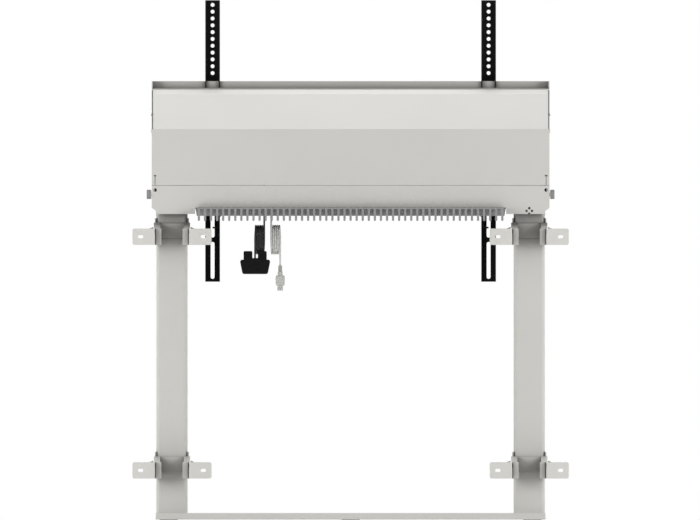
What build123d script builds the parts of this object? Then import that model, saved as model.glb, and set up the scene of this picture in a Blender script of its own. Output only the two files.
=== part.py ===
from build123d import *
import math
import os

# Motorised television lift with two telescopic columns, standing on the floor and held to the wall.
# Frame: +X to the right seen from the wall side, +Y towards the display, +Z up, floor at zero.
# Lengths are in millimetres. Left is the -X side and right is the +X side.

# Overall depth, from the wall plane to the display plane
total_depth = 194.0
wall_y = -total_depth / 2
display_y = total_depth / 2

# Travel of the carriage
stroke = 600.0

# Small gap between neighbouring parts of the casing
part_gap = 0.3

# Cutters run this far past the faces that they open
overrun = 5.0

# Columns
column_pitch = 786.0
column_width = 69.0
column_depth = 80.0
column_corner = 8.0
column_wall = 2.5
column_wall_distance = 62.0
column_top = 846.0
column_x = column_pitch / 2
column_rear_y = wall_y + column_wall_distance
column_front_y = column_rear_y + column_depth
column_y = (column_rear_y + column_front_y) / 2
half_column = column_width / 2
column_side_x = column_x + half_column

# Base bar
base_end_margin = 1.5
base_height = 15.4
base_depth = 150.0
base_sheet = 3.0
base_floor_gap = 1.0
base_corner = 3.0
base_length = 2 * (column_side_x + base_end_margin)
pad_diameter = 40.0
pad_end_margin = 29.0
pad_side_margin = 25.0
pad_pitch_y = base_depth - 2 * pad_side_margin
floor_hole = 9.0
floor_pitch_x = 600.0
floor_pitch_y = 90.0
foot_height = 12.0
foot_fit = 0.15

# Telescopic inner tube and its glides
glide_gap = 3.0
glide_running_gap = 0.2
glide_seat_gap = 0.1
glide_height = 50.0
glide_cap = 3.0
inner_tube_wall = 2.5
inner_tube_corner = 5.0
inner_tube_rest = 4.6
inner_tube_bottom = base_height + foot_height + inner_tube_rest
head_gap = 3.0
bore_width = column_width - 2 * column_wall
bore_depth = column_depth - 2 * column_wall
inner_width = bore_width - 2 * glide_gap
inner_depth = bore_depth - 2 * glide_gap
head_z = column_top + glide_cap + head_gap

# Small screws: M6 in the base, M4 in the casing
base_screw = 6.0
base_screw_head = 11.0
base_screw_head_height = 3.0
base_screw_length = 12.0
foot_screw_pitch_x = 40.0
foot_screw_pitch_y = 50.0
casing_screw = 4.0
casing_screw_head = 9.4
casing_screw_head_height = 3.0
casing_screw_length = 8.0
screw_clearance = 0.4
screw_head_round_share = 0.33

# Spindle drive
spindle_diameter = 16.0
spindle_reserve = 80.0
journal_diameter = 12.0
journal_length = 27.0
running_gap = 0.06
push_tube_outer = 26.0
push_tube_inner = 19.0
push_tube_set_down = 106.0
push_tube_top = column_top - push_tube_set_down
spindle_bottom = push_tube_top - stroke - spindle_reserve
nut_diameter = 36.0
nut_height = 40.0
bearing_outer = 28.0
bearing_height = 9.4
bearing_seat_gap = 0.05
gearbox_width = 56.0
gearbox_depth = 56.0
gearbox_height = 46.0
gearbox_corner = 6.0
gearbox_floor = 6.0
shoulder_hole = 20.0
motor_diameter = 42.0
motor_length = 90.0
motor_neck_diameter = 30.0
motor_neck_length = 6.0
motor_chamfer = 3.0

# Head bracket: an angle that joins the inner tube to the front plate
bracket_sheet = 6.0
bracket_side_margin = 3.5
bracket_width = column_width + 2 * bracket_side_margin
bracket_rear_margin = 6.0
bracket_flange_height = 42.0
bracket_screw_pitch = 50.0
bracket_screw_height = 30.0

# Wall brackets: a folded saddle on the column and two slotted ears on the wall
bracket_base_distance = 75.8
bracket_pitch = 514.0
bracket_bottom_z = base_height + bracket_base_distance
bracket_top_z = bracket_bottom_z + bracket_pitch
bracket_sheet_steel = 3.0
ear_height = 36.0
ear_reach = 52.5
ear_corner = 4.5
ear_slot_length = 11.6
ear_slot_width = 7.0
ear_slot_inset = 18.0
ear_side_gap = 0.3
ear_arm_length = 57.0
ear_bend = 2.7
saddle_wall_gap = 14.0
saddle_rise = 15.2
saddle_web_height = 32.0
saddle_lip = 14.1
saddle_top_width = 11.5
saddle_tab_height = 58.8
saddle_tab_length = 16.0
saddle_top_rise = 13.0
saddle_bend = 3.2
saddle_flare = 2.4
ear_bolt_diameter = 8.0
ear_bolt_height = 28.5
ear_bolt_wall_distance = 39.0
ear_bolt_flange = 22.0
ear_bolt_flange_thickness = 2.5
ear_bolt_hex = 17.0
ear_bolt_nut_height = 6.5
ear_bolt_head = 13.0
ear_bolt_head_height = 5.0
ear_adjust_in = 5.0
ear_adjust_out = 15.0
hex_sides = 6

# Carriage casing: heights follow from the top of the columns
casing_end_margin = 10.0
casing_half = column_side_x + casing_end_margin
cover_wall_gap = 36.0
cover_sheet = 1.5
cover_y = wall_y + cover_wall_gap
casing_overlap = 172.8
panel_height = 62.6
seam_gap = 0.6
cover_height = 123.4
slope_height = 77.4
slope_run = 56.0
deck_rise = 10.1
panel_bottom = column_top - casing_overlap
cover_bottom = panel_bottom + panel_height + seam_gap
slope_bottom = cover_bottom + cover_height
slope_top = slope_bottom + slope_height
slope_top_y = cover_y + slope_run
deck_top = slope_top + deck_rise
end_plate_sheet = 3.0
end_plate_rise = 13.8
end_plate_set_down = 0.7
end_plate_step = 10.0
end_plate_bottom = panel_bottom + end_plate_rise
end_plate_top = deck_top - end_plate_set_down
panel_chamfer_x = 9.3
panel_chamfer_z = 6.5
panel_return = 12.0
panel_side_drop = 4.4
cover_flange = 26.0
cover_return = 10.0
relief_inset = 7.3
relief_x = casing_half - relief_inset
relief_width = 1.2
relief_height = 19.8
relief_top_width = 5.4
relief_top_height = 2.5
panel_hole = 7.7
panel_hole_set_down = 10.4
panel_hole_z = cover_bottom - panel_hole_set_down
mark_hole = 5.5
mark_radius = 6.0
mark_rise = 6.8
mark_z = panel_bottom + mark_rise
hook_tab_length = 8.5
hook_tab_depth = 8.0
hook_tab_thickness = 1.5

# Front plate with joggled hanging rails
plate_sheet = 2.5
plate_gap = 12.0
plate_y = column_front_y + plate_gap
plate_rise = 24.3
plate_bottom = panel_bottom + plate_rise
rail_shelf_rise = 3.0
rail_height = 15.2
rail_shelf_z = deck_top + rail_shelf_rise
rail_top = rail_shelf_z + rail_height
lower_rail_drop = 4.1
rail_bottom = panel_bottom - lower_rail_drop
lower_rail_overhang = 1.0
plate_return = 32.0
rail_return = 24.0

# Screws in the casing's ends
side_screw_rise = 33.7
side_screw_z = slope_bottom + side_screw_rise
side_screw_rear_distance = 75.0
side_screw_front_distance = 16.0
side_screw_rear_y = plate_y - side_screw_rear_distance
side_screw_front_y = plate_y - side_screw_front_distance

# Cable comb: a grey plastic shelf with hanging fingers
finger_count = 51
finger_pitch = 13.35
finger_width = 5.0
finger_thickness = 3.5
finger_drop = 29.2
comb_end_margin = 5.75
comb_taper = 4.5
comb_wall = 3.0
comb_shelf_rise = 13.8
comb_leg_rise = 18.0
comb_reach = 26.0
comb_shelf_top = panel_bottom + comb_shelf_rise
comb_leg_top = comb_shelf_top + comb_leg_rise
comb_bottom = rail_bottom
finger_bottom = comb_shelf_top - finger_drop
finger_row = (finger_count - 1) * finger_pitch
shelf_half = finger_row / 2 + finger_width / 2
comb_half = shelf_half + comb_end_margin
lower_rail_half = comb_half + lower_rail_overhang

# Side thumb knobs
knob_rise = 43.2
knob_inset = 11.0
knob_z = panel_bottom + knob_rise
knob_y = cover_y + knob_inset
knob_diameter = 20.4
knob_width = 9.1
knob_neck = 1.8
knob_neck_diameter = 10.0
knob_shaft = 6.0
knob_shaft_length = 14.0
knob_flute_count = 30
knob_flute = 1.2
knob_edge = 0.8
knob_flange_depth = 19.5
knob_flange_drop = 19.4
knob_flange_thickness = 3.0

# Mounting strips and their latches
strip_pitch = 607.2
strip_x = strip_pitch / 2
strip_width = 32.3
strip_depth = 20.0
strip_web = 2.0
strip_flange = 2.5
strip_rise = 178.1
strip_drop = 144.9
strip_top = rail_top + strip_rise
strip_bottom = rail_bottom - strip_drop
strip_hole = 8.4
strip_hole_count = 11
strip_hole_pitch = 15.0
strip_hole_inset = 10.3
strip_hole_top = strip_top - strip_hole_inset
slot_width = 8.5
slot_length = 81.2
slot_inset = 6.4
slot_bridge = 9.6
lower_slot_bottom = strip_bottom + slot_inset
upper_slot_bottom = lower_slot_bottom + slot_length + slot_bridge
hook_gap = 0.3
hook_nose = 4.4
hook_shelf_gap = 1.2
hook_height = 19.5
hook_bottom = rail_shelf_z + hook_shelf_gap
hook_top = rail_top + hook_height
rail_front_y = display_y - strip_depth - hook_gap
rail_rear_y = rail_front_y - plate_sheet
latch_sheet = 3.0
latch_gap = 0.4
latch_pivot_inset = 11.0
latch_pivot_rise = 1.9
latch_pivot_y = display_y - latch_pivot_inset
latch_pivot_z = rail_bottom + latch_pivot_rise
latch_pin = 5.0
latch_pin_head = 8.0
latch_pin_head_height = 1.5
latch_eye = 7.0
latch_hook_catch = 3.9
latch_hook_drop = 5.0
latch_length = 29.7
latch_tip_height = 3.8
latch_tip_depth = 6.0
latch_lean = 15.0
latch_arm_width = 6.0

# Control box
box_x = -80.0
box_length = 300.0
box_depth = 45.0
box_rise = 101.8
box_bottom = panel_bottom + box_rise
box_height = 60.0
box_wall = 2.0
box_lid = 2.0
box_screw_inset = 18.8
box_screw_pitch = 30.0
board_margin_x = 18.0
board_margin_z = 6.0
board_thickness = 1.6
standoff_height = 6.0
standoff_diameter = 7.0
standoff_pitch_x = 240.0
standoff_pitch_z = 32.0

# Leads, their glands and hanks
lead_inset = 37.0
lead_y = plate_y - lead_inset
black_lead = 4.0
grey_lead = 4.2
black_drop_inset = 40.0
lead_pitch = 15.3
black_hank_width = 20.2
grey_hank_width = 19.8
black_drop_x = box_x - box_length / 2 + black_drop_inset
black_tail_x = black_drop_x - black_hank_width
grey_drop_x = black_drop_x + lead_pitch
grey_tail_x = grey_drop_x + grey_hank_width
gland_length = 20.0
gland_top_diameter = 11.0
gland_tip_diameter = 7.0
hank_loops = 4
hank_hang = 25.2
hank_height = 63.4
hank_top = panel_bottom - hank_hang
hank_bottom = hank_top - hank_height
hank_radius = 14.0
hank_flat = 0.8
hank_end = 4.5
measured_points_per_loop = 150

# Handset
handset_hang = 11.7
handset_height = 31.9
handset_top = hank_bottom - handset_hang
handset_bottom = handset_top - handset_height
handset_top_width = 68.0
handset_bottom_width = 55.6
handset_depth = 20.0
handset_corner = 5.0
handset_wall = 2.0
handset_back = 4.0
handset_offset = 0.2
handset_x = black_tail_x + handset_offset
lug_width = 19.5
lug_height = 18.8
lug_pitch = 31.5
lug_corner = 3.0
lug_thickness = 4.0
lug_bridge_height = 3.5
button_width = 16.0
button_height = 12.0
button_pitch = 24.0
button_corner = 3.0
button_gap = 0.4
button_travel = 1.2
button_proud = 0.8
button_rise = button_travel + button_proud
button_skirt = 1.5
handset_boss_diameter = 7.0
handset_boss_height = 3.0

# Data plug on the grey lead
plug_hang = 24.9
plug_top = hank_bottom - plug_hang
plug_relief_diameter = 9.1
plug_relief_length = 13.7
plug_neck_diameter = 11.1
plug_neck_length = 7.9
plug_grip_width = 20.7
plug_grip_depth = 14.0
plug_grip_corner = 3.0
plug_grip_length = 22.2
plug_nose_diameter = 12.8
plug_nose_length = 4.9
plug_shell_diameter = 12.4
plug_shell_wall = 0.6
plug_shell_length = 6.3
plug_core_diameter = 11.0
plug_core_length = 4.0

nodes = {}


def block(x0, x1, y0, y1, z0, z1):
    """A box between two corners."""
    centre = Pos((x0 + x1) / 2, (y0 + y1) / 2, (z0 + z1) / 2)
    return centre * Box(x1 - x0, y1 - y0, z1 - z0)


def across(points, x0, x1):
    """An outline in Y and Z, extruded from x0 to x1."""
    face = make_face(Polyline(*points, close=True))
    return extrude(Plane.YZ.offset(x0) * face, amount=x1 - x0)


def facing(sketch, y0, y1):
    """A sketch in X and Z, as seen from the wall, extruded from y0 to y1."""
    return extrude(Plane.XZ.offset(-y1) * sketch, amount=y1 - y0)


def level(sketch, z0, z1):
    """A sketch in X and Y, extruded from z0 to z1."""
    return extrude(Plane.XY.offset(z0) * sketch, amount=z1 - z0)


def rod_x(diameter, x0, x1, y, z):
    """A round bar along X."""
    return extrude(Plane.YZ.offset(x0) * (Pos(y, z) * Circle(diameter / 2)), amount=x1 - x0)


def rod_y(diameter, y0, y1, x, z):
    """A round bar along Y."""
    return facing(Pos(x, z) * Circle(diameter / 2), y0, y1)


def rod_z(diameter, z0, z1, x, y):
    """A round bar along Z."""
    return level(Pos(x, y) * Circle(diameter / 2), z0, z1)


def folded(points, thickness):
    """The closed outline of a folded sheet whose outer face follows the points, its metal on their right."""
    inner = []
    for k, point in enumerate(points):
        before = points[k - 1] if k else point
        after = points[k + 1] if k + 1 < len(points) else point
        into = Vector(*point) - Vector(*before) if k else Vector(*after) - Vector(*point)
        out = Vector(*after) - Vector(*point) if k + 1 < len(points) else into
        side_in = Vector(into.Y, -into.X).normalized()
        side_out = Vector(out.Y, -out.X).normalized()
        mitre = (side_in + side_out).normalized()
        reach = thickness / mitre.dot(side_in)
        inner.append((point[0] + mitre.X * reach, point[1] + mitre.Y * reach))
    return list(points) + inner[::-1]


def rounded_tube(width, depth, corner, wall, z0, z1, x, y):
    """A tube of rounded rectangular section along Z."""
    outline = RectangleRounded(width, depth, corner)
    bore = RectangleRounded(width - 2 * wall, depth - 2 * wall, corner - wall)
    return level(Pos(x, y) * (outline - bore), z0, z1)


def group(solids):
    """Separate solids that share one node."""
    return Compound(children=[solid for item in solids for solid in item.solids()])


def mirrored(shape):
    """The same shape on the other side of the lift."""
    return mirror(shape, about=Plane.YZ)


def keep_pair(name, left_shape):
    """Stores a shape of the left side and its mirror image."""
    nodes["left_" + name] = left_shape
    nodes["right_" + name] = mirrored(left_shape)


def keep_group(name, left_solids, middle_solids=()):
    """Stores like solids of both sides in one node."""
    right_solids = [mirrored(solid) for solid in left_solids]
    nodes[name] = group(list(left_solids) + right_solids + list(middle_solids))


def screw(diameter, length, head, head_height):
    """A button head screw at the origin, its head above the face and its shank along -Z."""
    shank = rod_z(diameter, -length, 0, 0, 0)
    cap = rod_z(head, 0, head_height, 0, 0)
    cap = fillet(cap.edges().sort_by(Axis.Z)[-1], head_height * screw_head_round_share)
    return cap + shank


# Base bar, floor pads, feet and the fixed column tubes

def foot_screw_places():
    for dx in (-foot_screw_pitch_x / 2, foot_screw_pitch_x / 2):
        for dy in (-foot_screw_pitch_y / 2, foot_screw_pitch_y / 2):
            yield -column_x + dx, column_y + dy


def make_base_bar():
    outline = Pos(0, column_y) * RectangleRounded(base_length, base_depth, base_corner)
    hollow = Pos(0, column_y) * Rectangle(base_length - 2 * base_sheet, base_depth - 2 * base_sheet)
    bar = level(outline, base_floor_gap, base_height)
    bar -= level(hollow, 0, base_height - base_sheet)
    for x in (-floor_pitch_x / 2, floor_pitch_x / 2):
        for dy in (-floor_pitch_y / 2, floor_pitch_y / 2):
            bar -= rod_z(floor_hole, 0, base_height + overrun, x, column_y + dy)
    clearance = base_screw + screw_clearance
    for x, y in foot_screw_places():
        bar -= rod_z(clearance, 0, base_height + overrun, x, y)
        bar -= rod_z(clearance, 0, base_height + overrun, -x, y)
    return bar


def make_floor_pads():
    under = base_height - base_sheet
    pads = []
    end = base_length / 2 - pad_end_margin
    for x in (-end, 0, end):
        for dy in (-pad_pitch_y / 2, pad_pitch_y / 2):
            pads.append(rod_z(pad_diameter, 0, under, x, column_y + dy))
    return group(pads)


def make_left_foot():
    width = bore_width - 2 * foot_fit
    depth = bore_depth - 2 * foot_fit
    outline = RectangleRounded(width, depth, column_corner - column_wall)
    foot = level(Pos(-column_x, column_y) * outline, base_height, base_height + foot_height)
    for x, y in foot_screw_places():
        hole = base_screw + screw_clearance
        foot -= rod_z(hole, base_height - overrun, base_height + foot_height + overrun, x, y)
    return foot


def make_left_foot_screws():
    under = base_height - base_sheet
    turned = Rot(180, 0, 0) * screw(base_screw, base_screw_length, base_screw_head, base_screw_head_height)
    return [Pos(x, y, under) * turned for x, y in foot_screw_places()]


def make_left_column_tube():
    return rounded_tube(column_width, column_depth, column_corner, column_wall,
                        base_height, column_top, -column_x, column_y)


def make_left_upper_glide():
    place = Pos(-column_x, column_y)
    seat = 2 * glide_seat_gap
    outer = RectangleRounded(bore_width - seat, bore_depth - seat, column_corner - column_wall)
    running = 2 * glide_running_gap
    opening = RectangleRounded(inner_width + running, inner_depth + running, inner_tube_corner)
    ring = level(place * (outer - opening), column_top - glide_height, column_top)
    cap_outline = RectangleRounded(column_width, column_depth, column_corner)
    return ring + level(place * (cap_outline - opening), column_top, column_top + glide_cap)


def make_left_lower_glide():
    place = Pos(-column_x, column_y)
    running = 2 * glide_running_gap
    outer = RectangleRounded(bore_width - running, bore_depth - running, column_corner - column_wall)
    seat = 2 * glide_seat_gap
    opening = RectangleRounded(inner_width + seat, inner_depth + seat, inner_tube_corner)
    return level(place * (outer - opening), inner_tube_bottom, inner_tube_bottom + glide_height)


def make_left_inner_tube():
    return rounded_tube(inner_width, inner_depth, inner_tube_corner, inner_tube_wall,
                        inner_tube_bottom, head_z, -column_x, column_y)


# Spindle drive: fixed push tube and nut, turning spindle, bearing, gearbox and motor

def make_left_push_tube():
    foot_top = base_height + foot_height
    tube = rod_z(push_tube_outer, foot_top, push_tube_top, -column_x, column_y)
    return tube - rod_z(push_tube_inner, foot_top - overrun, push_tube_top + overrun, -column_x, column_y)


def make_left_nut():
    nut = rod_z(nut_diameter, push_tube_top, push_tube_top + nut_height, -column_x, column_y)
    bore = spindle_diameter + 2 * running_gap
    return nut - rod_z(bore, push_tube_top - overrun, push_tube_top + nut_height + overrun,
                       -column_x, column_y)


def gearbox_bottom():
    return head_z + bracket_sheet


def bearing_bottom():
    return gearbox_bottom() + gearbox_floor


def make_left_spindle():
    shoulder = bearing_bottom() - part_gap
    shaft = rod_z(spindle_diameter, spindle_bottom, shoulder, -column_x, column_y)
    return shaft + rod_z(journal_diameter, shoulder, shoulder + journal_length, -column_x, column_y)


def make_left_bearing():
    bottom = bearing_bottom()
    ring = rod_z(bearing_outer, bottom, bottom + bearing_height, -column_x, column_y)
    bore = journal_diameter + 2 * running_gap
    return ring - rod_z(bore, bottom - overrun, bottom + bearing_height + overrun, -column_x, column_y)


def make_left_gearbox():
    bottom = gearbox_bottom()
    outline = Pos(-column_x, column_y) * RectangleRounded(gearbox_width, gearbox_depth, gearbox_corner)
    body = level(outline, bottom, bottom + gearbox_height)
    seat = bearing_outer + 2 * bearing_seat_gap
    pocket_top = bearing_bottom() + bearing_height
    body -= rod_z(shoulder_hole, bottom - overrun, bearing_bottom(), -column_x, column_y)
    body -= rod_z(seat, bearing_bottom(), pocket_top, -column_x, column_y)
    journal_top = bearing_bottom() + journal_length
    body -= rod_z(journal_diameter + 2 * part_gap, pocket_top, journal_top, -column_x, column_y)
    return body


def motor_z():
    return gearbox_bottom() + gearbox_height / 2


def make_left_motor():
    side = -column_x + gearbox_width / 2
    neck_end = side + motor_neck_length
    neck = rod_x(motor_neck_diameter, side, neck_end, column_y, motor_z())
    can = rod_x(motor_diameter, neck_end, neck_end + motor_length, column_y, motor_z())
    can = chamfer(can.edges().sort_by(Axis.X)[-1], motor_chamfer)
    return neck + can


def make_left_head_bracket():
    x0 = -column_x - bracket_width / 2
    x1 = -column_x + bracket_width / 2
    rear = column_y - inner_depth / 2 - bracket_rear_margin
    angle = block(x0, x1, rear, plate_y, head_z, head_z + bracket_sheet)
    angle += block(x0, x1, plate_y - bracket_sheet, plate_y, head_z, head_z + bracket_flange_height)
    angle -= rod_z(shoulder_hole, head_z - overrun, head_z + bracket_sheet + overrun, -column_x, column_y)
    for dx in (-bracket_screw_pitch / 2, bracket_screw_pitch / 2):
        angle -= rod_y(casing_screw + screw_clearance, plate_y - bracket_sheet - overrun, plate_y + overrun,
                       -column_x + dx, head_z + bracket_screw_height)
    return angle


# Wall brackets

def saddle_rear_y():
    return wall_y + saddle_wall_gap


def ear_bolt_y():
    return wall_y + ear_bolt_wall_distance


def cheek_outer():
    return half_column + bracket_sheet_steel


def make_saddle(z0):
    """The folded saddle of the left column, its ears' lower edge at z0."""
    rear = saddle_rear_y()
    sheet = bracket_sheet_steel
    web_bottom = z0 + saddle_rise
    slope_end = z0 + ear_height + saddle_top_rise
    tab_top = z0 + saddle_tab_height
    web = block(-half_column, half_column, column_rear_y - sheet, column_rear_y,
                web_bottom, web_bottom + saddle_web_height)
    cheek = [(rear, z0), (rear, z0 + ear_height), (column_rear_y, slope_end), (column_rear_y, tab_top),
             (column_rear_y + saddle_tab_length, tab_top),
             (column_rear_y + saddle_tab_length, web_bottom), (column_rear_y, web_bottom)]
    top = [(rear, z0 + ear_height - sheet), (rear, z0 + ear_height),
           (column_rear_y - sheet, slope_end), (column_rear_y - sheet, slope_end - sheet)]
    hole = rod_x(ear_bolt_diameter + screw_clearance, half_column - overrun, cheek_outer() + overrun,
                 ear_bolt_y(), z0 + ear_bolt_height)
    side = across(cheek, half_column, cheek_outer()) - hole
    side += block(cheek_outer() - saddle_lip, cheek_outer(), rear, rear + sheet, z0, z0 + ear_height)
    side += across(top, cheek_outer() - saddle_top_width, cheek_outer())
    slope = (column_rear_y - sheet - rear) / saddle_top_rise
    flare_low = z0 + ear_height + ear_side_gap
    flare = [(rear + slope * ear_side_gap, flare_low), (column_rear_y - sheet, slope_end),
             (column_rear_y - sheet, slope_end - sheet), (rear + slope * (ear_side_gap + sheet), flare_low)]
    corner = side.edges().filter_by(Axis.Z).group_by(Axis.Y)[0].sort_by(Axis.X)[-1]
    side = fillet(corner, saddle_bend)
    side += across(flare, cheek_outer(), cheek_outer() + saddle_flare)
    return Pos(-column_x, 0, 0) * (web + side + mirrored(side))


def make_ears(z0):
    """The two slotted wall ears of one bracket of the left column."""
    inner = cheek_outer() + ear_side_gap
    sheet = bracket_sheet_steel
    outer = half_column + ear_reach
    mid_z = z0 + ear_height / 2
    plate = block(inner, outer, wall_y, wall_y + sheet, z0, z0 + ear_height)
    plate = fillet(plate.edges().filter_by(Axis.Y).group_by(Axis.X)[-1], ear_corner)
    slot = Pos(outer - ear_slot_inset, mid_z) * SlotOverall(ear_slot_length, ear_slot_width)
    plate -= facing(slot, wall_y - overrun, wall_y + sheet + overrun)
    arm = block(inner, inner + sheet, wall_y, wall_y + ear_arm_length, z0, z0 + ear_height)
    play = ear_bolt_diameter + screw_clearance
    travel = ear_adjust_in + ear_adjust_out
    middle = ear_bolt_y() + (ear_adjust_out - ear_adjust_in) / 2
    long_slot = Pos(middle, z0 + ear_bolt_height) * SlotOverall(travel + play, play)
    arm -= extrude(Plane.YZ.offset(inner - overrun) * long_slot, amount=sheet + 2 * overrun)
    ear = plate + arm
    corner = ear.edges().filter_by(Axis.Z).group_by(Axis.Y)[0].sort_by(Axis.X)[0]
    ear = fillet(corner, ear_bend)
    place = Pos(-column_x, 0, 0)
    return group([place * ear, place * mirrored(ear)])


def make_ear_bolts(z0):
    """The two clamp bolts of one bracket of the left column, with their flange nuts."""
    y = ear_bolt_y()
    z = z0 + ear_bolt_height
    nut_start = cheek_outer() + ear_side_gap + bracket_sheet_steel + ear_side_gap
    hex_start = nut_start + ear_bolt_flange_thickness
    bolt_end = hex_start + ear_bolt_nut_height
    bolt = rod_x(ear_bolt_diameter, half_column, bolt_end, y, z)
    bolt += rod_x(ear_bolt_flange, nut_start, hex_start, y, z)
    hexagon = Pos(y, z) * RegularPolygon(ear_bolt_hex / 2, hex_sides, major_radius=False)
    bolt += extrude(Plane.YZ.offset(hex_start) * hexagon, amount=ear_bolt_nut_height)
    head = Pos(y, z) * RegularPolygon(ear_bolt_head / 2, hex_sides, major_radius=False)
    bolt += extrude(Plane.YZ.offset(half_column - ear_bolt_head_height) * head, amount=ear_bolt_head_height)
    place = Pos(-column_x, 0, 0)
    return [place * bolt, place * mirrored(bolt)]


# Carriage casing

def make_front_plate():
    web_half = casing_half - end_plate_sheet - part_gap
    web = block(-web_half, web_half, plate_y, plate_y + plate_sheet, plate_bottom, rail_shelf_z)
    shelf = block(-casing_half, casing_half, plate_y, rail_front_y, rail_shelf_z - plate_sheet, rail_shelf_z)
    rail = block(-casing_half, casing_half, rail_rear_y, rail_front_y, rail_shelf_z - plate_sheet, rail_top)
    lower_shelf = block(-lower_rail_half, lower_rail_half, plate_y, rail_front_y,
                        plate_bottom, plate_bottom + plate_sheet)
    lower_top = plate_bottom + plate_sheet
    lower_points = [(-lower_rail_half, lower_top), (lower_rail_half, lower_top),
                    (lower_rail_half - comb_taper, rail_bottom), (-lower_rail_half + comb_taper, rail_bottom)]
    lower_rail = facing(make_face(Polyline(*lower_points, close=True)), rail_rear_y, rail_front_y)
    plate = web + shelf + rail + lower_shelf + lower_rail
    for side in (-1, 1):
        near, far = sorted((side * (web_half - plate_sheet), side * web_half))
        plate += block(near, far, plate_y - plate_return, plate_y, plate_bottom,
                       rail_shelf_z - 2 * plate_return)
        near, far = sorted((side * (casing_half - plate_sheet), side * casing_half))
        plate += block(near, far, rail_rear_y - rail_return, rail_rear_y, rail_shelf_z, rail_top)
    through = (plate_y - overrun, plate_y + plate_sheet + overrun)
    for x, z in front_screw_places():
        plate -= rod_y(casing_screw + screw_clearance, *through, x, z)
    for x_side in (-1, 1):
        near, far = sorted((x_side * (web_half - plate_sheet - overrun), x_side * (web_half + part_gap)))
        plate -= rod_x(casing_screw + screw_clearance, near, far, side_screw_front_y, side_screw_z)
    return plate


def front_screw_places():
    """Screws through the front plate into the head brackets and the control box."""
    places = []
    for side in (-1, 1):
        for dx in (-bracket_screw_pitch / 2, bracket_screw_pitch / 2):
            places.append((side * column_x + dx, head_z + bracket_screw_height))
        for dz in (-box_screw_pitch / 2, box_screw_pitch / 2):
            x = box_x + side * (box_length / 2 - box_screw_inset)
            places.append((x, box_bottom + box_height / 2 + dz))
    return places


def slope_y(z):
    """Y of the sloped face's outer side at a height."""
    share = (z - slope_bottom) / (slope_top - slope_bottom)
    return cover_y + share * (slope_top_y - cover_y)


def make_left_end_plate():
    rear = cover_y + cover_sheet + part_gap
    front = plate_y + plate_sheet
    low_z = slope_bottom - part_gap
    top_z = slope_top - part_gap
    points = [(rear, end_plate_bottom), (rear, low_z), (slope_y(low_z) + end_plate_step, low_z),
              (slope_y(top_z) + end_plate_step, top_z), (slope_y(top_z) + end_plate_step, end_plate_top),
              (front, end_plate_top), (front, end_plate_bottom)]
    plate = across(points, -casing_half, -casing_half + end_plate_sheet)
    for y in (side_screw_rear_y, side_screw_front_y):
        plate -= rod_x(casing_screw + screw_clearance, -casing_half - overrun, -casing_half + 2 * overrun,
                       y, side_screw_z)
    plate -= rod_x(knob_shaft + screw_clearance, -casing_half - overrun, -casing_half + 2 * overrun,
                   knob_y, knob_z)
    return plate


def make_upper_cover():
    inner_half = casing_half - end_plate_sheet - part_gap
    face = [(cover_y, cover_bottom), (cover_y, slope_bottom), (slope_top_y, slope_top),
            (plate_y - part_gap, deck_top)]
    shell = across(folded(face, cover_sheet), -inner_half, inner_half)
    wide = block(-casing_half, casing_half, cover_y, cover_y + cover_sheet, cover_bottom, slope_bottom)
    cover = shell + wide
    cover += block(-inner_half, inner_half, cover_y + cover_sheet, cover_y + cover_sheet + cover_return,
                   cover_bottom, cover_bottom + cover_sheet)
    for side in (-1, 1):
        near, far = sorted((side * (inner_half - cover_sheet), side * inner_half))
        flange = [(slope_y(slope_bottom) + cover_sheet, slope_bottom),
                  (slope_y(slope_top - cover_sheet) + cover_sheet, slope_top - cover_sheet),
                  (slope_y(slope_top - cover_sheet) + cover_flange, slope_top - cover_sheet),
                  (slope_y(slope_bottom) + cover_flange, slope_bottom)]
        cover += across(flange, near, far)
        cover -= rod_x(casing_screw + screw_clearance, near - overrun, far + overrun,
                       side_screw_rear_y, side_screw_z)
        slit = Pos(side * relief_x, cover_bottom + relief_height / 2) * Rectangle(relief_width, relief_height)
        crown = Pos(side * relief_x, cover_bottom + relief_height + relief_top_height / 2)
        crown *= Rectangle(relief_top_width, relief_top_height)
        cover -= facing(slit, cover_y - overrun, cover_y + cover_sheet)
        cover -= facing(crown, cover_y - overrun, cover_y + cover_sheet)
        near, far = sorted((side * casing_half, side * (casing_half + hook_tab_thickness)))
        cover += block(near, far, cover_y, cover_y + hook_tab_depth,
                       slope_bottom - hook_tab_length, slope_bottom)
    return cover


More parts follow.
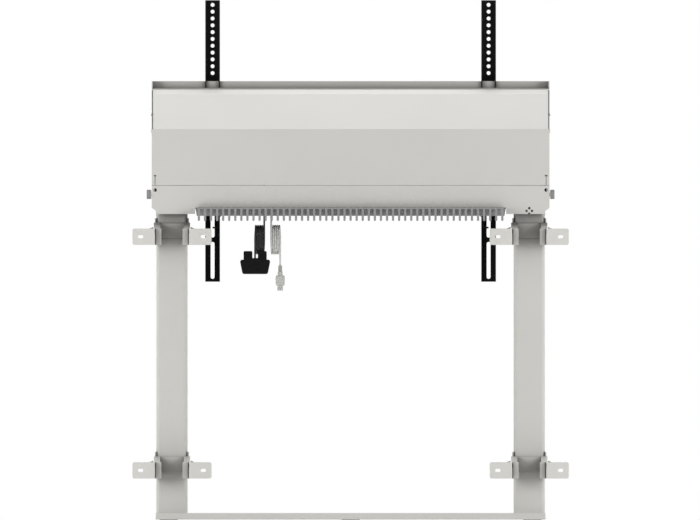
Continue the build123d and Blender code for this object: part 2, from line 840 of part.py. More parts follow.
def make_lower_panel():
    panel_top = cover_bottom - seam_gap
    corner_x = casing_half - panel_chamfer_x
    corner_z = panel_bottom + panel_chamfer_z
    step_z = end_plate_bottom - part_gap
    notch = comb_half + part_gap
    outline = [(-casing_half, panel_top), (casing_half, panel_top), (casing_half, step_z),
               (corner_x, corner_z), (corner_x, panel_bottom), (notch, panel_bottom),
               (notch, comb_shelf_top + part_gap), (-notch, comb_shelf_top + part_gap),
               (-notch, panel_bottom), (-corner_x, panel_bottom), (-corner_x, corner_z),
               (-casing_half, step_z)]
    panel = facing(make_face(Polyline(*outline, close=True)), cover_y, cover_y + cover_sheet)
    inner_half = casing_half - end_plate_sheet - part_gap
    inside = cover_y + cover_sheet
    for side in (-1, 1):
        near, far = sorted((side * (inner_half - knob_flange_thickness), side * inner_half))
        panel += block(near, far, inside, inside + knob_flange_depth, knob_z - knob_flange_drop,
                       panel_top - seam_gap)
        panel -= rod_x(knob_shaft + screw_clearance, near - overrun, far + overrun, knob_y, knob_z)
        near, far = sorted((side * notch, side * corner_x))
        panel += block(near, far, inside, inside + panel_return, panel_bottom, panel_bottom + cover_sheet)
        near, far = sorted((side * (corner_x - cover_sheet), side * corner_x))
        panel += block(near, far, inside, inside + panel_return, panel_bottom - panel_side_drop, corner_z)
        panel -= rod_y(panel_hole, cover_y - overrun, inside, side * relief_x, panel_hole_z)
    for dx, dz in ((0, mark_radius), (mark_radius, 0), (0, -mark_radius), (-mark_radius, 0)):
        panel -= rod_y(mark_hole, cover_y - overrun, inside + panel_return + overrun,
                       column_x + dx, mark_z + dz)
    return panel


def make_comb():
    leg_y = cover_y + cover_sheet + part_gap
    rear = cover_y - comb_reach
    leg_points = [(-comb_half, comb_leg_top), (comb_half, comb_leg_top), (comb_half, comb_shelf_top),
                  (comb_half - comb_taper, comb_bottom), (-comb_half + comb_taper, comb_bottom),
                  (-comb_half, comb_shelf_top)]
    comb = facing(make_face(Polyline(*leg_points, close=True)), leg_y, leg_y + comb_wall)
    comb += block(-shelf_half, shelf_half, rear, leg_y, comb_shelf_top - comb_wall, comb_shelf_top)
    fingers = Sketch()
    length = comb_shelf_top - finger_bottom
    for k in range(finger_count):
        x = -finger_row / 2 + k * finger_pitch
        stem = Pos(x, comb_shelf_top - (length - finger_width / 2) / 2)
        fingers += stem * Rectangle(finger_width, length - finger_width / 2)
        fingers += Pos(x, finger_bottom + finger_width / 2) * Circle(finger_width / 2)
    return comb + facing(fingers, rear, rear + finger_thickness)


def make_casing_screws():
    side_screw = screw(casing_screw, casing_screw_length, casing_screw_head, casing_screw_head_height)
    left = [Pos(-casing_half, y, side_screw_z) * Rot(0, -90, 0) * side_screw
            for y in (side_screw_rear_y, side_screw_front_y)]
    front = [Pos(x, plate_y + plate_sheet, z) * Rot(-90, 0, 0) * side_screw for x, z in front_screw_places()]
    return left, front


def make_left_knob():
    face = casing_half + part_gap
    head_start = face + knob_neck
    head_end = head_start + knob_width
    head = rod_x(knob_diameter, head_start, head_end, knob_y, knob_z)
    head = chamfer(head.edges().filter_by(GeomType.CIRCLE), knob_edge)
    for k in range(knob_flute_count):
        angle = 2 * math.pi * k / knob_flute_count
        y = knob_y + math.cos(angle) * knob_diameter / 2
        z = knob_z + math.sin(angle) * knob_diameter / 2
        head -= rod_x(knob_flute, head_start - overrun, head_end + overrun, y, z)
    knob = head + rod_x(knob_neck_diameter, face, head_start, knob_y, knob_z)
    knob += rod_x(knob_shaft, face - knob_shaft_length, face, knob_y, knob_z)
    return mirrored(knob)


# Mounting strips and latches

def strip_flange_y():
    return display_y - strip_depth


def make_left_strip():
    half = strip_width / 2
    flange_y = strip_flange_y()
    web = block(-half, half, display_y - strip_web, display_y, strip_bottom, strip_top)
    nose_front = rail_rear_y - hook_gap
    nose_rear = nose_front - hook_nose
    side = [(display_y, strip_bottom), (flange_y, strip_bottom), (flange_y, rail_top + hook_gap),
            (nose_front, rail_top + hook_gap), (nose_front, hook_bottom), (nose_rear, hook_bottom),
            (nose_rear, hook_top - hook_nose), (flange_y, hook_top), (flange_y, strip_top),
            (display_y, strip_top)]
    flange = across(side, half - strip_flange, half)
    strip = web + flange + mirrored(flange)
    for k in range(strip_hole_count):
        strip -= rod_y(strip_hole, display_y - overrun, display_y + overrun, 0,
                       strip_hole_top - k * strip_hole_pitch)
    for bottom in (lower_slot_bottom, upper_slot_bottom):
        slot = Pos(0, bottom + slot_length / 2) * Rot(0, 0, 90) * SlotOverall(slot_length, slot_width)
        strip -= facing(slot, display_y - overrun, display_y + overrun)
    strip -= rod_x(latch_pin + 2 * running_gap, half - strip_flange - overrun, half + overrun,
                   latch_pivot_y, latch_pivot_z)
    return Pos(-strip_x, 0, 0) * strip


def make_left_latch():
    half = strip_width / 2
    outer = half - strip_flange - latch_gap
    inner = outer - latch_sheet
    nose_front = rail_rear_y - hook_gap
    nose_rear = nose_front - hook_nose
    hook_under = rail_bottom - hook_gap
    hook_low = hook_under - latch_hook_drop
    tip_rear = latch_pivot_y - latch_lean
    tip_front = tip_rear + latch_tip_depth
    tip_bottom = latch_pivot_z - latch_length
    tip_top = tip_bottom + latch_tip_height
    hook_top_z = rail_bottom + latch_hook_catch
    side = [(nose_rear, hook_top_z), (nose_rear, hook_low), (tip_rear, tip_top),
            (tip_rear, tip_bottom), (tip_front, tip_bottom), (tip_front, tip_top),
            (latch_pivot_y - latch_arm_width / 2, hook_low), (latch_pivot_y, hook_low),
            (latch_pivot_y, hook_under), (nose_front, hook_under), (nose_front, hook_top_z)]
    latch = across(side, inner, outer)
    latch += rod_x(2 * latch_eye, inner, outer, latch_pivot_y, latch_pivot_z)
    latch += block(0, outer, tip_rear, tip_front, tip_bottom, tip_top)
    latch += rod_x(latch_pin, inner, half + part_gap, latch_pivot_y, latch_pivot_z)
    latch += rod_x(latch_pin_head, half + part_gap, half + part_gap + latch_pin_head_height,
                   latch_pivot_y, latch_pivot_z)
    return Pos(-strip_x, 0, 0) * latch


# Control box

def make_control_box():
    front = plate_y - part_gap
    rear = front - box_depth
    top = box_bottom + box_height
    half = box_length / 2
    box = block(box_x - half, box_x + half, rear, front, box_bottom, top)
    box -= block(box_x - half + box_wall, box_x + half - box_wall, rear - overrun, front - box_wall,
                 box_bottom + box_wall, top - box_wall)
    for dx in (-standoff_pitch_x / 2, standoff_pitch_x / 2):
        for dz in (-standoff_pitch_z / 2, standoff_pitch_z / 2):
            box += rod_y(standoff_diameter, front - box_wall - standoff_height, front - box_wall,
                         box_x + dx, box_bottom + box_height / 2 + dz)
    for x, z in front_screw_places():
        box -= rod_y(casing_screw + screw_clearance, front - box_wall - overrun, front + overrun, x, z)
    return box


def make_box_lid():
    rear = plate_y - part_gap - box_depth
    half = box_length / 2
    return block(box_x - half, box_x + half, rear - box_lid, rear, box_bottom, box_bottom + box_height)


def make_board():
    front = plate_y - part_gap - box_wall - standoff_height
    half = box_length / 2 - box_wall - board_margin_x
    bottom = box_bottom + box_wall + board_margin_z
    top = box_bottom + box_height - box_wall - board_margin_z
    return block(box_x - half, box_x + half, front - board_thickness, front, bottom, top)


# Leads: straight drops from the glands, hanks and tails

def make_gland(x):
    return Pos(x, lead_y, box_bottom - gland_length / 2) * Cone(
        gland_tip_diameter / 2, gland_top_diameter / 2, gland_length)


def hank_points(drop_x, tail_x):
    """Corners of the hank's path: down runs on the wall side, climbs to the next loop on the other."""
    step = (tail_x - drop_x) / hank_loops
    near = lead_y
    far = lead_y + 2 * hank_radius + hank_flat
    points = [(drop_x, near, hank_top + hank_end)]
    for k in range(hank_loops):
        x = drop_x + k * step
        points.append((x, near, hank_bottom))
        points.append((x, far, hank_bottom))
        points.append((x + step, far, hank_top))
        points.append((x + step, near, hank_top))
    points.append((tail_x, near, hank_bottom - hank_end))
    return points


def make_hank(drop_x, tail_x, diameter):
    inset = diameter / 2
    points = [Vector(*point) for point in hank_points(drop_x, tail_x)]
    inside = [points[0]]
    for point in points[1:-1]:
        lift = inset if point.Z == hank_bottom else -inset
        inside.append(point + Vector(0, 0, lift))
    inside.append(points[-1])
    path = FilletPolyline(*inside, radius=hank_radius)
    section = Plane(origin=inside[0], z_dir=inside[1] - inside[0]) * Circle(diameter / 2)
    return sweep(section, path=path), path


def least_gap(path, diameter):
    """The smallest gap of a tube to itself, measured between points along its line."""
    count = measured_points_per_loop * hank_loops
    step = path.length / count
    places = [path.position_at(k / count) for k in range(count + 1)]
    apart = int(math.pi * diameter / step) + 1
    gap = path.length
    for i, place in enumerate(places):
        for other in places[i + apart:]:
            gap = min(gap, (place - other).length)
    return gap - diameter


def keep_lead(colour, diameter, drop_x, tail_x, tail_end):
    """Stores the drop, hank and tail of one lead, and prints what they measure."""
    hank, path = make_hank(drop_x, tail_x, diameter)
    drop_top = box_bottom - gland_length
    drop = rod_z(diameter, hank_top + hank_end, drop_top, drop_x, lead_y)
    tail = rod_z(diameter, tail_end, hank_bottom - hank_end, tail_x, lead_y)
    nodes[colour + "_lead_drop"] = drop
    nodes[colour + "_lead_hank"] = hank
    nodes[colour + "_lead_tail"] = tail
    length = path.length + drop_top - (hank_top + hank_end) + (hank_bottom - hank_end) - tail_end
    full = math.pi * (diameter / 2) ** 2 * path.length
    print(colour, "lead: length", round(length, 1), "hank radius", hank_radius,
          "least gap", round(least_gap(path, diameter), 2),
          "volume share", round(hank.volume / full, 4))


# Handset

def handset_outline(inset):
    half_top = handset_top_width / 2 - inset
    half_bottom = handset_bottom_width / 2 - inset
    points = [(-half_top, handset_top - inset), (half_top, handset_top - inset),
              (half_bottom, handset_bottom + inset), (-half_bottom, handset_bottom + inset)]
    face = make_face(Polyline(*points, close=True))
    return Pos(handset_x, 0) * fillet(face.vertices(), handset_corner - inset)


def handset_button_places():
    middle = (handset_top + handset_bottom) / 2
    return [(handset_x - button_pitch / 2, middle), (handset_x + button_pitch / 2, middle)]


def handset_rear():
    return lead_y - handset_depth / 2


def make_handset_case():
    split = handset_rear() + handset_back
    front = handset_rear() + handset_depth
    case = facing(handset_outline(0), split, front)
    case = fillet(case.faces().sort_by(Axis.Y)[-1].edges(), handset_wall)
    case -= facing(handset_outline(handset_wall), split, front - handset_wall)
    for x, z in handset_button_places():
        opening = RectangleRounded(button_width + 2 * button_gap, button_height + 2 * button_gap,
                                   button_corner + button_gap)
        case -= facing(Pos(x, z) * opening, split, front + overrun)
    return case


def make_handset_back():
    rear = handset_rear()
    back = facing(handset_outline(0), rear, rear + handset_back)
    back = fillet(back.faces().sort_by(Axis.Y)[0].edges(), handset_wall)
    lug_bottom = handset_top - handset_corner
    for dx in (-lug_pitch / 2, lug_pitch / 2):
        height = handset_top + lug_height - lug_bottom
        lug = Pos(handset_x + dx, lug_bottom + height / 2) * Rectangle(lug_width, height)
        tab = facing(lug, rear, rear + lug_thickness)
        back += fillet(tab.edges().filter_by(Axis.Y).group_by(Axis.Z)[-1], lug_corner)
    height = handset_top + lug_bridge_height - lug_bottom
    bridge = Pos(handset_x, lug_bottom + height / 2) * Rectangle(lug_pitch, height)
    return back + facing(bridge, rear, rear + lug_thickness)


def make_handset_boss():
    """The lead's strain relief on top of the handset."""
    return rod_z(handset_boss_diameter, handset_top, handset_top + handset_boss_height,
                 black_tail_x, lead_y)


def make_button(x, z):
    front = handset_rear() + handset_depth
    rest_face = front + button_rise
    stem = RectangleRounded(button_width, button_height, button_corner)
    button = facing(Pos(x, z) * stem, front - handset_wall - part_gap, rest_face)
    button = fillet(button.faces().sort_by(Axis.Y)[-1].edges(), button_gap)
    skirt = RectangleRounded(button_width + 2 * button_skirt, button_height + 2 * button_skirt,
                             button_corner + button_skirt)
    skirt_front = front - handset_wall - part_gap
    return button + facing(Pos(x, z) * skirt, skirt_front - button_skirt, skirt_front)


# Data plug

def plug_levels():
    """Heights of the ends of the plug's relief, neck, grip and nose, from the top down."""
    relief = plug_top - plug_relief_length
    neck = relief - plug_neck_length
    grip = neck - plug_grip_length
    return relief, neck, grip, grip - plug_nose_length


def make_plug():
    x = grey_tail_x
    relief, neck, grip, nose = plug_levels()
    body = rod_z(plug_relief_diameter, relief, plug_top, x, lead_y)
    body += rod_z(plug_neck_diameter, neck, relief, x, lead_y)
    outline = RectangleRounded(plug_grip_width, plug_grip_depth, plug_grip_corner)
    body += level(Pos(x, lead_y) * outline, grip, neck)
    body += rod_z(plug_nose_diameter, nose, grip, x, lead_y)
    return body + rod_z(plug_core_diameter, nose - plug_core_length, nose, x, lead_y)


def make_plug_shell():
    x = grey_tail_x
    nose = plug_levels()[-1]
    shell = rod_z(plug_shell_diameter, nose - plug_shell_length, nose, x, lead_y)
    bore = plug_shell_diameter - 2 * plug_shell_wall
    return shell - rod_z(bore, nose - plug_shell_length - overrun, nose + overrun, x, lead_y)


def build():
    nodes["base_bar"] = make_base_bar()
    nodes["floor_pads"] = make_floor_pads()
    keep_group("column_feet", [make_left_foot()])
    keep_group("column_screws", make_left_foot_screws())
    keep_pair("column_tube", make_left_column_tube())
    keep_group("upper_glides", [make_left_upper_glide()])
    keep_group("lower_glides", [make_left_lower_glide()])
    keep_pair("inner_tube", make_left_inner_tube())
    keep_group("push_tubes", [make_left_push_tube()])
    keep_group("spindle_nuts", [make_left_nut()])
    keep_pair("spindle", make_left_spindle())
    keep_group("spindle_bearings", [make_left_bearing()])
    keep_pair("gearbox", make_left_gearbox())
    keep_pair("motor", make_left_motor())
    keep_pair("head_bracket", make_left_head_bracket())
    keep_pair("top_saddle", make_saddle(bracket_top_z))
    keep_pair("bottom_saddle", make_saddle(bracket_bottom_z))
    keep_pair("top_ears", make_ears(bracket_top_z))
    keep_pair("bottom_ears", make_ears(bracket_bottom_z))
    keep_group("ear_bolts", make_ear_bolts(bracket_top_z) + make_ear_bolts(bracket_bottom_z))
    nodes["front_plate"] = make_front_plate()
    keep_pair("end_plate", make_left_end_plate())
    nodes["upper_rear_cover"] = make_upper_cover()
    nodes["lower_rear_panel"] = make_lower_panel()
    nodes["cable_comb"] = make_comb()
    left_screws, front_screws = make_casing_screws()
    keep_group("casing_screws", left_screws, front_screws)
    keep_pair("knob", make_left_knob())
    keep_pair("strip", make_left_strip())
    keep_pair("strip_latch", make_left_latch())
    nodes["control_box"] = make_control_box()
    nodes["control_box_lid"] = make_box_lid()
    nodes["control_board"] = make_board()
    nodes["cord_glands"] = group([make_gland(black_drop_x), make_gland(grey_drop_x)])
    keep_lead("black", black_lead, black_drop_x, black_tail_x, handset_top + handset_boss_height)
    keep_lead("grey", grey_lead, grey_drop_x, grey_tail_x, plug_top)
    nodes["handset_case"] = make_handset_case() + make_handset_boss()
    nodes["handset_back"] = make_handset_back()
    places = handset_button_places()
    nodes["up_button"] = make_button(*places[0])
    nodes["down_button"] = make_button(*places[1])
    nodes["plug"] = make_plug()
    nodes["plug_shell"] = make_plug_shell()


build()
os.makedirs("parts", exist_ok=True)
for node_name, shape in nodes.items():
    export_step(shape, "parts/" + node_name + ".step")
print(len(nodes), "nodes")
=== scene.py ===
import math

import bmesh
import bpy
from bpy.props import FloatProperty, FloatVectorProperty, IntProperty, PointerProperty
from mathutils import Matrix, Vector


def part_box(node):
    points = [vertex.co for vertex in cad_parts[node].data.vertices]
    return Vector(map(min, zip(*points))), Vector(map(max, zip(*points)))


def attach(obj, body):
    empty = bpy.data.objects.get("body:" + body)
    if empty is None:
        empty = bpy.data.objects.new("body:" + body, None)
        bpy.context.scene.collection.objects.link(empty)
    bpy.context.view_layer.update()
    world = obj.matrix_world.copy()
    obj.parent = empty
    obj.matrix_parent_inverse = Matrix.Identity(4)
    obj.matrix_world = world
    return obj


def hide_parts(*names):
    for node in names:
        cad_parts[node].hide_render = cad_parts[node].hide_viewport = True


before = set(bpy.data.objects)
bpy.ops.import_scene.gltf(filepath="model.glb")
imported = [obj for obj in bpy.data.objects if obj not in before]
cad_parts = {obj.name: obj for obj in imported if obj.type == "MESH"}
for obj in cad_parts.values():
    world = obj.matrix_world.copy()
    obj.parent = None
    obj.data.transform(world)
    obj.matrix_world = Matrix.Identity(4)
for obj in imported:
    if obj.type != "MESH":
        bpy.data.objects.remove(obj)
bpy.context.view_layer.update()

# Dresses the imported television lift: cords, plug, screws, washers, handset details, finishes and the stage.
# Lengths are in metres, in the frame of the solids: +X right seen from the wall, +Y to the display, +Z up.

bl_info = {
    "name": "Television lift",
    "version": (1, 0, 0),
    "blender": (4, 5, 0),
    "location": "View3D > Sidebar > Television lift",
    "description": "Cords, fittings and finishes of a motorised television lift",
    "category": "Object",
}

# The photograph's frame and scale
PHOTO_WIDTH = 700
PHOTO_HEIGHT = 520
METRES_PER_PIXEL = 0.0022
PHOTO_MIDDLE_COLUMN = 350.6
FLOOR_ROW = 520

PLUG_LOW, PLUG_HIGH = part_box("plug")
SHELL_LOW, SHELL_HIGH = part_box("plug_shell")
COLUMN_LOW, COLUMN_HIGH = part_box("right_column_tube")

QUARTER_TURN = math.pi / 2


class LeadSizes(bpy.types.PropertyGroup):
    """Sizes of the leads and their hanks"""
    black_diameter: FloatProperty(name="Black lead", description="Diameter of the handset's lead",
                                  default=0.004, unit="LENGTH")
    grey_diameter: FloatProperty(name="Grey lead", description="Diameter of the data lead",
                                 default=0.0042, unit="LENGTH")
    loops: IntProperty(name="Loops", description="Full loops in each hank", default=4)
    fold_radius: FloatProperty(name="Fold radius", description="Radius of the folds of a hank",
                               default=0.014, unit="LENGTH")
    run_spread: FloatProperty(name="Run spread", description="Distance from the near runs to the far runs",
                              default=0.0288, unit="LENGTH")


class FittingSizes(bpy.types.PropertyGroup):
    """Sizes of the plug's relief, the screws' sockets and the arrows"""
    rib_count: IntProperty(name="Relief ribs", description="Ribs on the plug's strain relief", default=5)
    rib_depth: FloatProperty(name="Rib depth", description="Depth of the relief's grooves",
                             default=0.0008, unit="LENGTH")
    socket_width: FloatProperty(name="Socket", description="Width across the hexagon socket of a screw",
                                default=0.003, unit="LENGTH")
    socket_depth: FloatProperty(name="Socket depth", description="Depth of a screw's socket",
                                default=0.0016, unit="LENGTH")
    arrow_width: FloatProperty(name="Arrow", description="Width of the raised arrow on a button",
                               default=0.007, unit="LENGTH")
    arrow_height: FloatProperty(name="Arrow height", description="How far the arrow stands proud",
                                default=0.0004, unit="LENGTH")


class FinishColours(bpy.types.PropertyGroup):
    """The colours that cover most of the lift"""
    paint: FloatVectorProperty(name="Paint", description="Light warm grey paint", subtype="COLOR",
                               default=(0.585, 0.578, 0.551))
    black_coat: FloatVectorProperty(name="Black coat", description="Powder coat of the strips",
                                    subtype="COLOR", default=(0.005, 0.005, 0.0054))
    comb: FloatVectorProperty(name="Comb", description="Neutral grey plastic", subtype="COLOR",
                              default=(0.27, 0.27, 0.272))
    grey_sheath: FloatVectorProperty(name="Grey sheath", description="Sheath of the data lead",
                                     subtype="COLOR", default=(0.58, 0.58, 0.558))


# Materials

# The part of a noise pattern's range that counts
NOISE_RANGE = (0.3, 0.7)
FULL_RANGE = (0.0, 1.0)

# Coats: scale of the drift of tone, detail of the grain, swing of the roughness
DRIFT_SCALE = 4.0
GRAIN_DETAIL = 3.0
COAT_SWING = 0.06

# Bare metal: scales of its lines and blotches, how far its roughness falls and rises, its relief
LINE_SCALE = 22.0
LINE_DETAIL = 4.0
BLOTCH_SCALE = 30.0
LINE_FALL = 0.08
LINE_RISE = 0.1
LINE_DEPTH = 0.00003
LINE_STRENGTH = 0.3
METAL_EDGE = 0.0004

# Rays that measure how closed in a point is, for the painted shade in corners and recesses
SHADE_SAMPLES = 8
TRACK_SCALE = 120.0
BOARD_ROUGHNESS = 0.35
CORD_SHEEN = 0.08

# How squarely a face looks along X where the painted edge shade begins and where it is full
EDGE_SHADE_RANGE = (0.3, 0.6)

MATERIALS = {}


def new_material(name):
    """A material with its nodes and shader, ready for a finish."""
    material = bpy.data.materials.new(name)
    material.use_nodes = True
    tree = material.node_tree
    return material, tree, tree.nodes["Principled BSDF"]


def feed(tree, node, sockets):
    """Gives each named socket of a node a value, or a link from another node's output."""
    for key, value in sockets.items():
        if isinstance(value, bpy.types.NodeSocket):
            tree.links.new(value, node.inputs[key])
        else:
            node.inputs[key].default_value = value


def add_node(tree, kind, sockets=None, **settings):
    """Adds a node with its settings and what its sockets take."""
    node = tree.nodes.new(kind)
    for key, value in settings.items():
        setattr(node, key, value)
    feed(tree, node, sockets or {})
    return node


def place_of(tree, stretch=(1, 1, 1)):
    """Object coordinates in metres, stretched along one axis for a brushed finish."""
    where = add_node(tree, "ShaderNodeTexCoord")
    turned = add_node(tree, "ShaderNodeMapping", {"Vector": where.outputs["Object"], "Scale": stretch})
    return turned.outputs["Vector"]


def noise(tree, place, scale, detail=2.0):
    """A soft pattern of spots."""
    node = add_node(tree, "ShaderNodeTexNoise", {"Vector": place, "Scale": scale, "Detail": detail})
    return node.outputs["Fac"]


def remapped(tree, value, source, target):
    """Maps one range of a value to another and holds it there; a limit can be a node's output."""
    node = add_node(tree, "ShaderNodeMapRange", {"Value": value, "From Min": source[0], "From Max": source[1],
                                                 "To Min": target[0], "To Max": target[1]})
    return node.outputs["Result"]


def vary(tree, pattern, low=0.0, high=1.0):
    """Spreads the middle of a noise pattern from low to high."""
    return remapped(tree, pattern, NOISE_RANGE, (low, high))


def scaled(colour, share):
    """A colour with each part scaled by a share."""
    return tuple(part * share for part in colour)


def tinted(tree, value, colour, shade):
    """A colour that drifts between itself and a shade of itself."""
    node = add_node(tree, "ShaderNodeMix", {"Factor": value, "A": (*scaled(colour, shade), 1),
                                            "B": (*colour, 1)}, data_type="RGBA")
    return node.outputs["Result"]


def bumped(tree, shader, height, depth, strength, edge_radius):
    """A fine relief, over edges that catch the light as if rounded."""
    bump = add_node(tree, "ShaderNodeBump", {"Height": height, "Strength": strength, "Distance": depth})
    if edge_radius:
        edge = add_node(tree, "ShaderNodeBevel", {"Radius": edge_radius})
        feed(tree, bump, {"Normal": edge.outputs["Normal"]})
    feed(tree, shader, {"Normal": bump.outputs["Normal"]})


def painted_shade(tree, colour, depth, darkest, shares, shade_fade_heights):
    """Painted shade: a colour that darkens in corners and recesses narrower than a depth.

    The shares of open air bound it: darkest at the first, unshaded at the second. Between
    two heights, where they are given, the painted shade thins out downwards."""
    recess = add_node(tree, "ShaderNodeAmbientOcclusion", {"Distance": depth}, samples=SHADE_SAMPLES)
    left = remapped(tree, recess.outputs["AO"], shares, (darkest, 1.0))
    if shade_fade_heights:
        parts = add_node(tree, "ShaderNodeSeparateXYZ", {"Vector": place_of(tree)})
        shade_weight = remapped(tree, parts.outputs["Z"], shade_fade_heights, FULL_RANGE)
        left = remapped(tree, shade_weight, FULL_RANGE, (1.0, left))
    darkened = add_node(tree, "ShaderNodeVectorMath", {0: colour, "Scale": left}, operation="SCALE")
    return darkened.outputs["Vector"]


def coated(name, colour, roughness=0.5, grain=900, depth=0.00006, strength=0.35, drift=0.965, edge=0.0008,
           shine=0.4, recess=0.0, darkest=0.3, shares=(0.25, 0.85), shade_fade_heights=None):
    """Powder coated sheet: a fine orange peel, a slight drift of tone, and painted shade in corners and
    recesses where a recess is given.
    """
    material, tree, shader = new_material(name)
    place = place_of(tree)
    fine = noise(tree, place, grain, GRAIN_DETAIL)
    tone = tinted(tree, vary(tree, noise(tree, place, DRIFT_SCALE)), colour, drift)
    if recess:
        tone = painted_shade(tree, tone, recess, darkest, shares, shade_fade_heights)
    feed(tree, shader, {"Base Color": tone, "Specular IOR Level": shine,
                        "Roughness": vary(tree, fine, roughness - COAT_SWING, roughness + COAT_SWING)})
    bumped(tree, shader, fine, depth, strength, edge)
    return material


def moulded(name, colour, roughness=0.6, grain=1600, depth=0.00005, strength=0.5, drift=0.93, edge=0.0004,
            shine=0.3, recess=0.0):
    """Moulded plastic or rubber with an eroded texture."""
    return coated(name, colour, roughness, grain, depth, strength, drift, edge, shine, recess)


def drawn_metal(name, colour, roughness, stretch=(60, 60, 2), drift=0.85):
    """Bare metal with fine lines along its length."""
    material, tree, shader = new_material(name)
    lines = noise(tree, place_of(tree, stretch), LINE_SCALE, LINE_DETAIL)
    blotch = noise(tree, place_of(tree), BLOTCH_SCALE)
    feed(tree, shader, {"Metallic": 1.0, "Base Color": tinted(tree, vary(tree, blotch), colour, drift),
                        "Roughness": vary(tree, lines, roughness - LINE_FALL, roughness + LINE_RISE)})
    bumped(tree, shader, lines, LINE_DEPTH, LINE_STRENGTH, METAL_EDGE)
    return material


def circuit_board(name):
    """Green lacquer over a faint grid of tracks."""
    material, tree, shader = new_material(name)
    tracks = add_node(tree, "ShaderNodeTexBrick", {"Vector": place_of(tree), "Scale": TRACK_SCALE,
                                                   "Color1": (0.01, 0.09, 0.04, 1),
                                                   "Color2": (0.015, 0.12, 0.05, 1),
                                                   "Mortar": (0.03, 0.2, 0.09, 1)})
    feed(tree, shader, {"Base Color": tracks.outputs["Color"], "Roughness": BOARD_ROUGHNESS})
    return material


def with_painted_edge_shade(material, colour):
    """Paints shade on the edges of a sheet that lies across the X axis: faces that look away from X get a
    dark colour.
    """
    tree = material.node_tree
    shader = tree.nodes["Principled BSDF"]
    painted = shader.inputs["Base Color"].links[0].from_socket
    surface = add_node(tree, "ShaderNodeNewGeometry")
    parts = add_node(tree, "ShaderNodeSeparateXYZ", {"Vector": surface.outputs["True Normal"]})
    size = add_node(tree, "ShaderNodeMath", {0: parts.outputs["X"]}, operation="ABSOLUTE")
    facing = remapped(tree, size.outputs[0], EDGE_SHADE_RANGE, FULL_RANGE)
    mix = add_node(tree, "ShaderNodeMix", {"Factor": facing, "A": (*colour, 1), "B": painted},
                   data_type="RGBA")
    feed(tree, shader, {"Base Color": mix.outputs["Result"]})
    return material


def sheathed(name, colour, roughness, recess=0.04):
    """A cord's sheath: matt, with a slight sheen, faint mottling and painted shade where other things close
    it in.
    """
    material = moulded(name, colour, roughness, grain=700, depth=0.00004, strength=0.4, drift=0.95, edge=0.0,
                       recess=recess)
    shader = material.node_tree.nodes["Principled BSDF"]
    shader.inputs["Sheen Weight"].default_value = CORD_SHEEN
    return material


def make_materials(colours):
    """Fills the table of finishes; each tone of the paint is what the photograph shows of that piece."""
    paint = tuple(colours.paint)
    black = tuple(colours.black_coat)
    MATERIALS.update(
        # Where a recess is given, a finish carries painted shade in its corners and recesses, which on the
        # columns thins out towards the floor. The paint is scaled darker for the covers, columns and front
        # plate and lighter for the brackets as painted light and shade; the front plate's tone is partly a
        # darker finish of its own. The end plates' edges carry painted shade.
        paint=coated("warm_grey_paint", scaled(paint, 0.98), recess=0.028, darkest=0.55),
        column=coated("column_paint", scaled(paint, 0.945), recess=0.14, darkest=0.25, shares=(0.3, 0.95),
                      shade_fade_heights=(0.06, 0.17)),
        plate=coated("front_plate_paint", scaled(paint, 0.79), recess=0.03),
        base=coated("base_paint", paint, 0.55),
        end_plate=with_painted_edge_shade(coated("end_plate_paint", paint), (0.16, 0.16, 0.155)),
        bracket=coated("bracket_paint", scaled(paint, 1.04), 0.42, edge=0.0006, recess=0.08,
                       shares=(0.4, 1.0)),
        strip=coated("black_powder_coat", black, 0.55, grain=1400, depth=0.0001, strength=0.6, drift=0.8,
                     shine=0.12),
        comb=moulded("comb_plastic", tuple(colours.comb)),
        handset=moulded("handset_plastic", (0.0045, 0.0045, 0.0045), 0.55, grain=1300, depth=0.00008,
                        strength=0.6, drift=0.8, shine=0.1),
        button=moulded("button_rubber", (0.16, 0.16, 0.165), 0.7),
        arrow=moulded("arrow_print", (0.7, 0.7, 0.7), 0.6),
        knob=moulded("knob_plastic", (0.33, 0.33, 0.33), 0.5, recess=0.006),
        washer=moulded("nylon_washer", (0.62, 0.62, 0.6), 0.45, drift=0.97),
        rubber=moulded("pad_rubber", (0.02, 0.02, 0.02), 0.8),
        box=moulded("box_plastic", (0.03, 0.03, 0.032), 0.55),
        glide=moulded("acetal", (0.7, 0.7, 0.68), 0.4, drift=0.97),
        plug=moulded("plug_moulding", (0.47, 0.47, 0.45), 0.6, drift=0.98, shine=0.15),
        relief=moulded("relief_moulding", (0.38, 0.38, 0.36), 0.6, drift=0.98, shine=0.15),
        nut=drawn_metal("dull_zinc", (0.2, 0.202, 0.208), 0.5, (40, 40, 40)),
        steel=drawn_metal("drawn_steel", (0.44, 0.44, 0.45), 0.42, drift=0.94),
        tube=drawn_metal("zinc_tube", (0.4, 0.405, 0.41), 0.52, (30, 30, 4), 0.97),
        zinc=drawn_metal("zinc_plate", (0.6, 0.61, 0.63), 0.34, (40, 40, 40)),
        cast=drawn_metal("die_cast", (0.52, 0.53, 0.54), 0.5, (30, 30, 30), 0.8),
        bronze=drawn_metal("bronze", (0.62, 0.42, 0.18), 0.35, (30, 30, 30)),
        nickel=drawn_metal("nickel", (0.37, 0.37, 0.365), 0.6, (50, 50, 10)),
        enamel=coated("motor_enamel", (0.02, 0.02, 0.021), 0.35),
        board=circuit_board("circuit_board"),
        black_cord=sheathed("black_sheath", (0.009, 0.009, 0.0094), 0.55),
        grey_cord=sheathed("grey_sheath", tuple(colours.grey_sheath), 0.5, 0.012),
    )


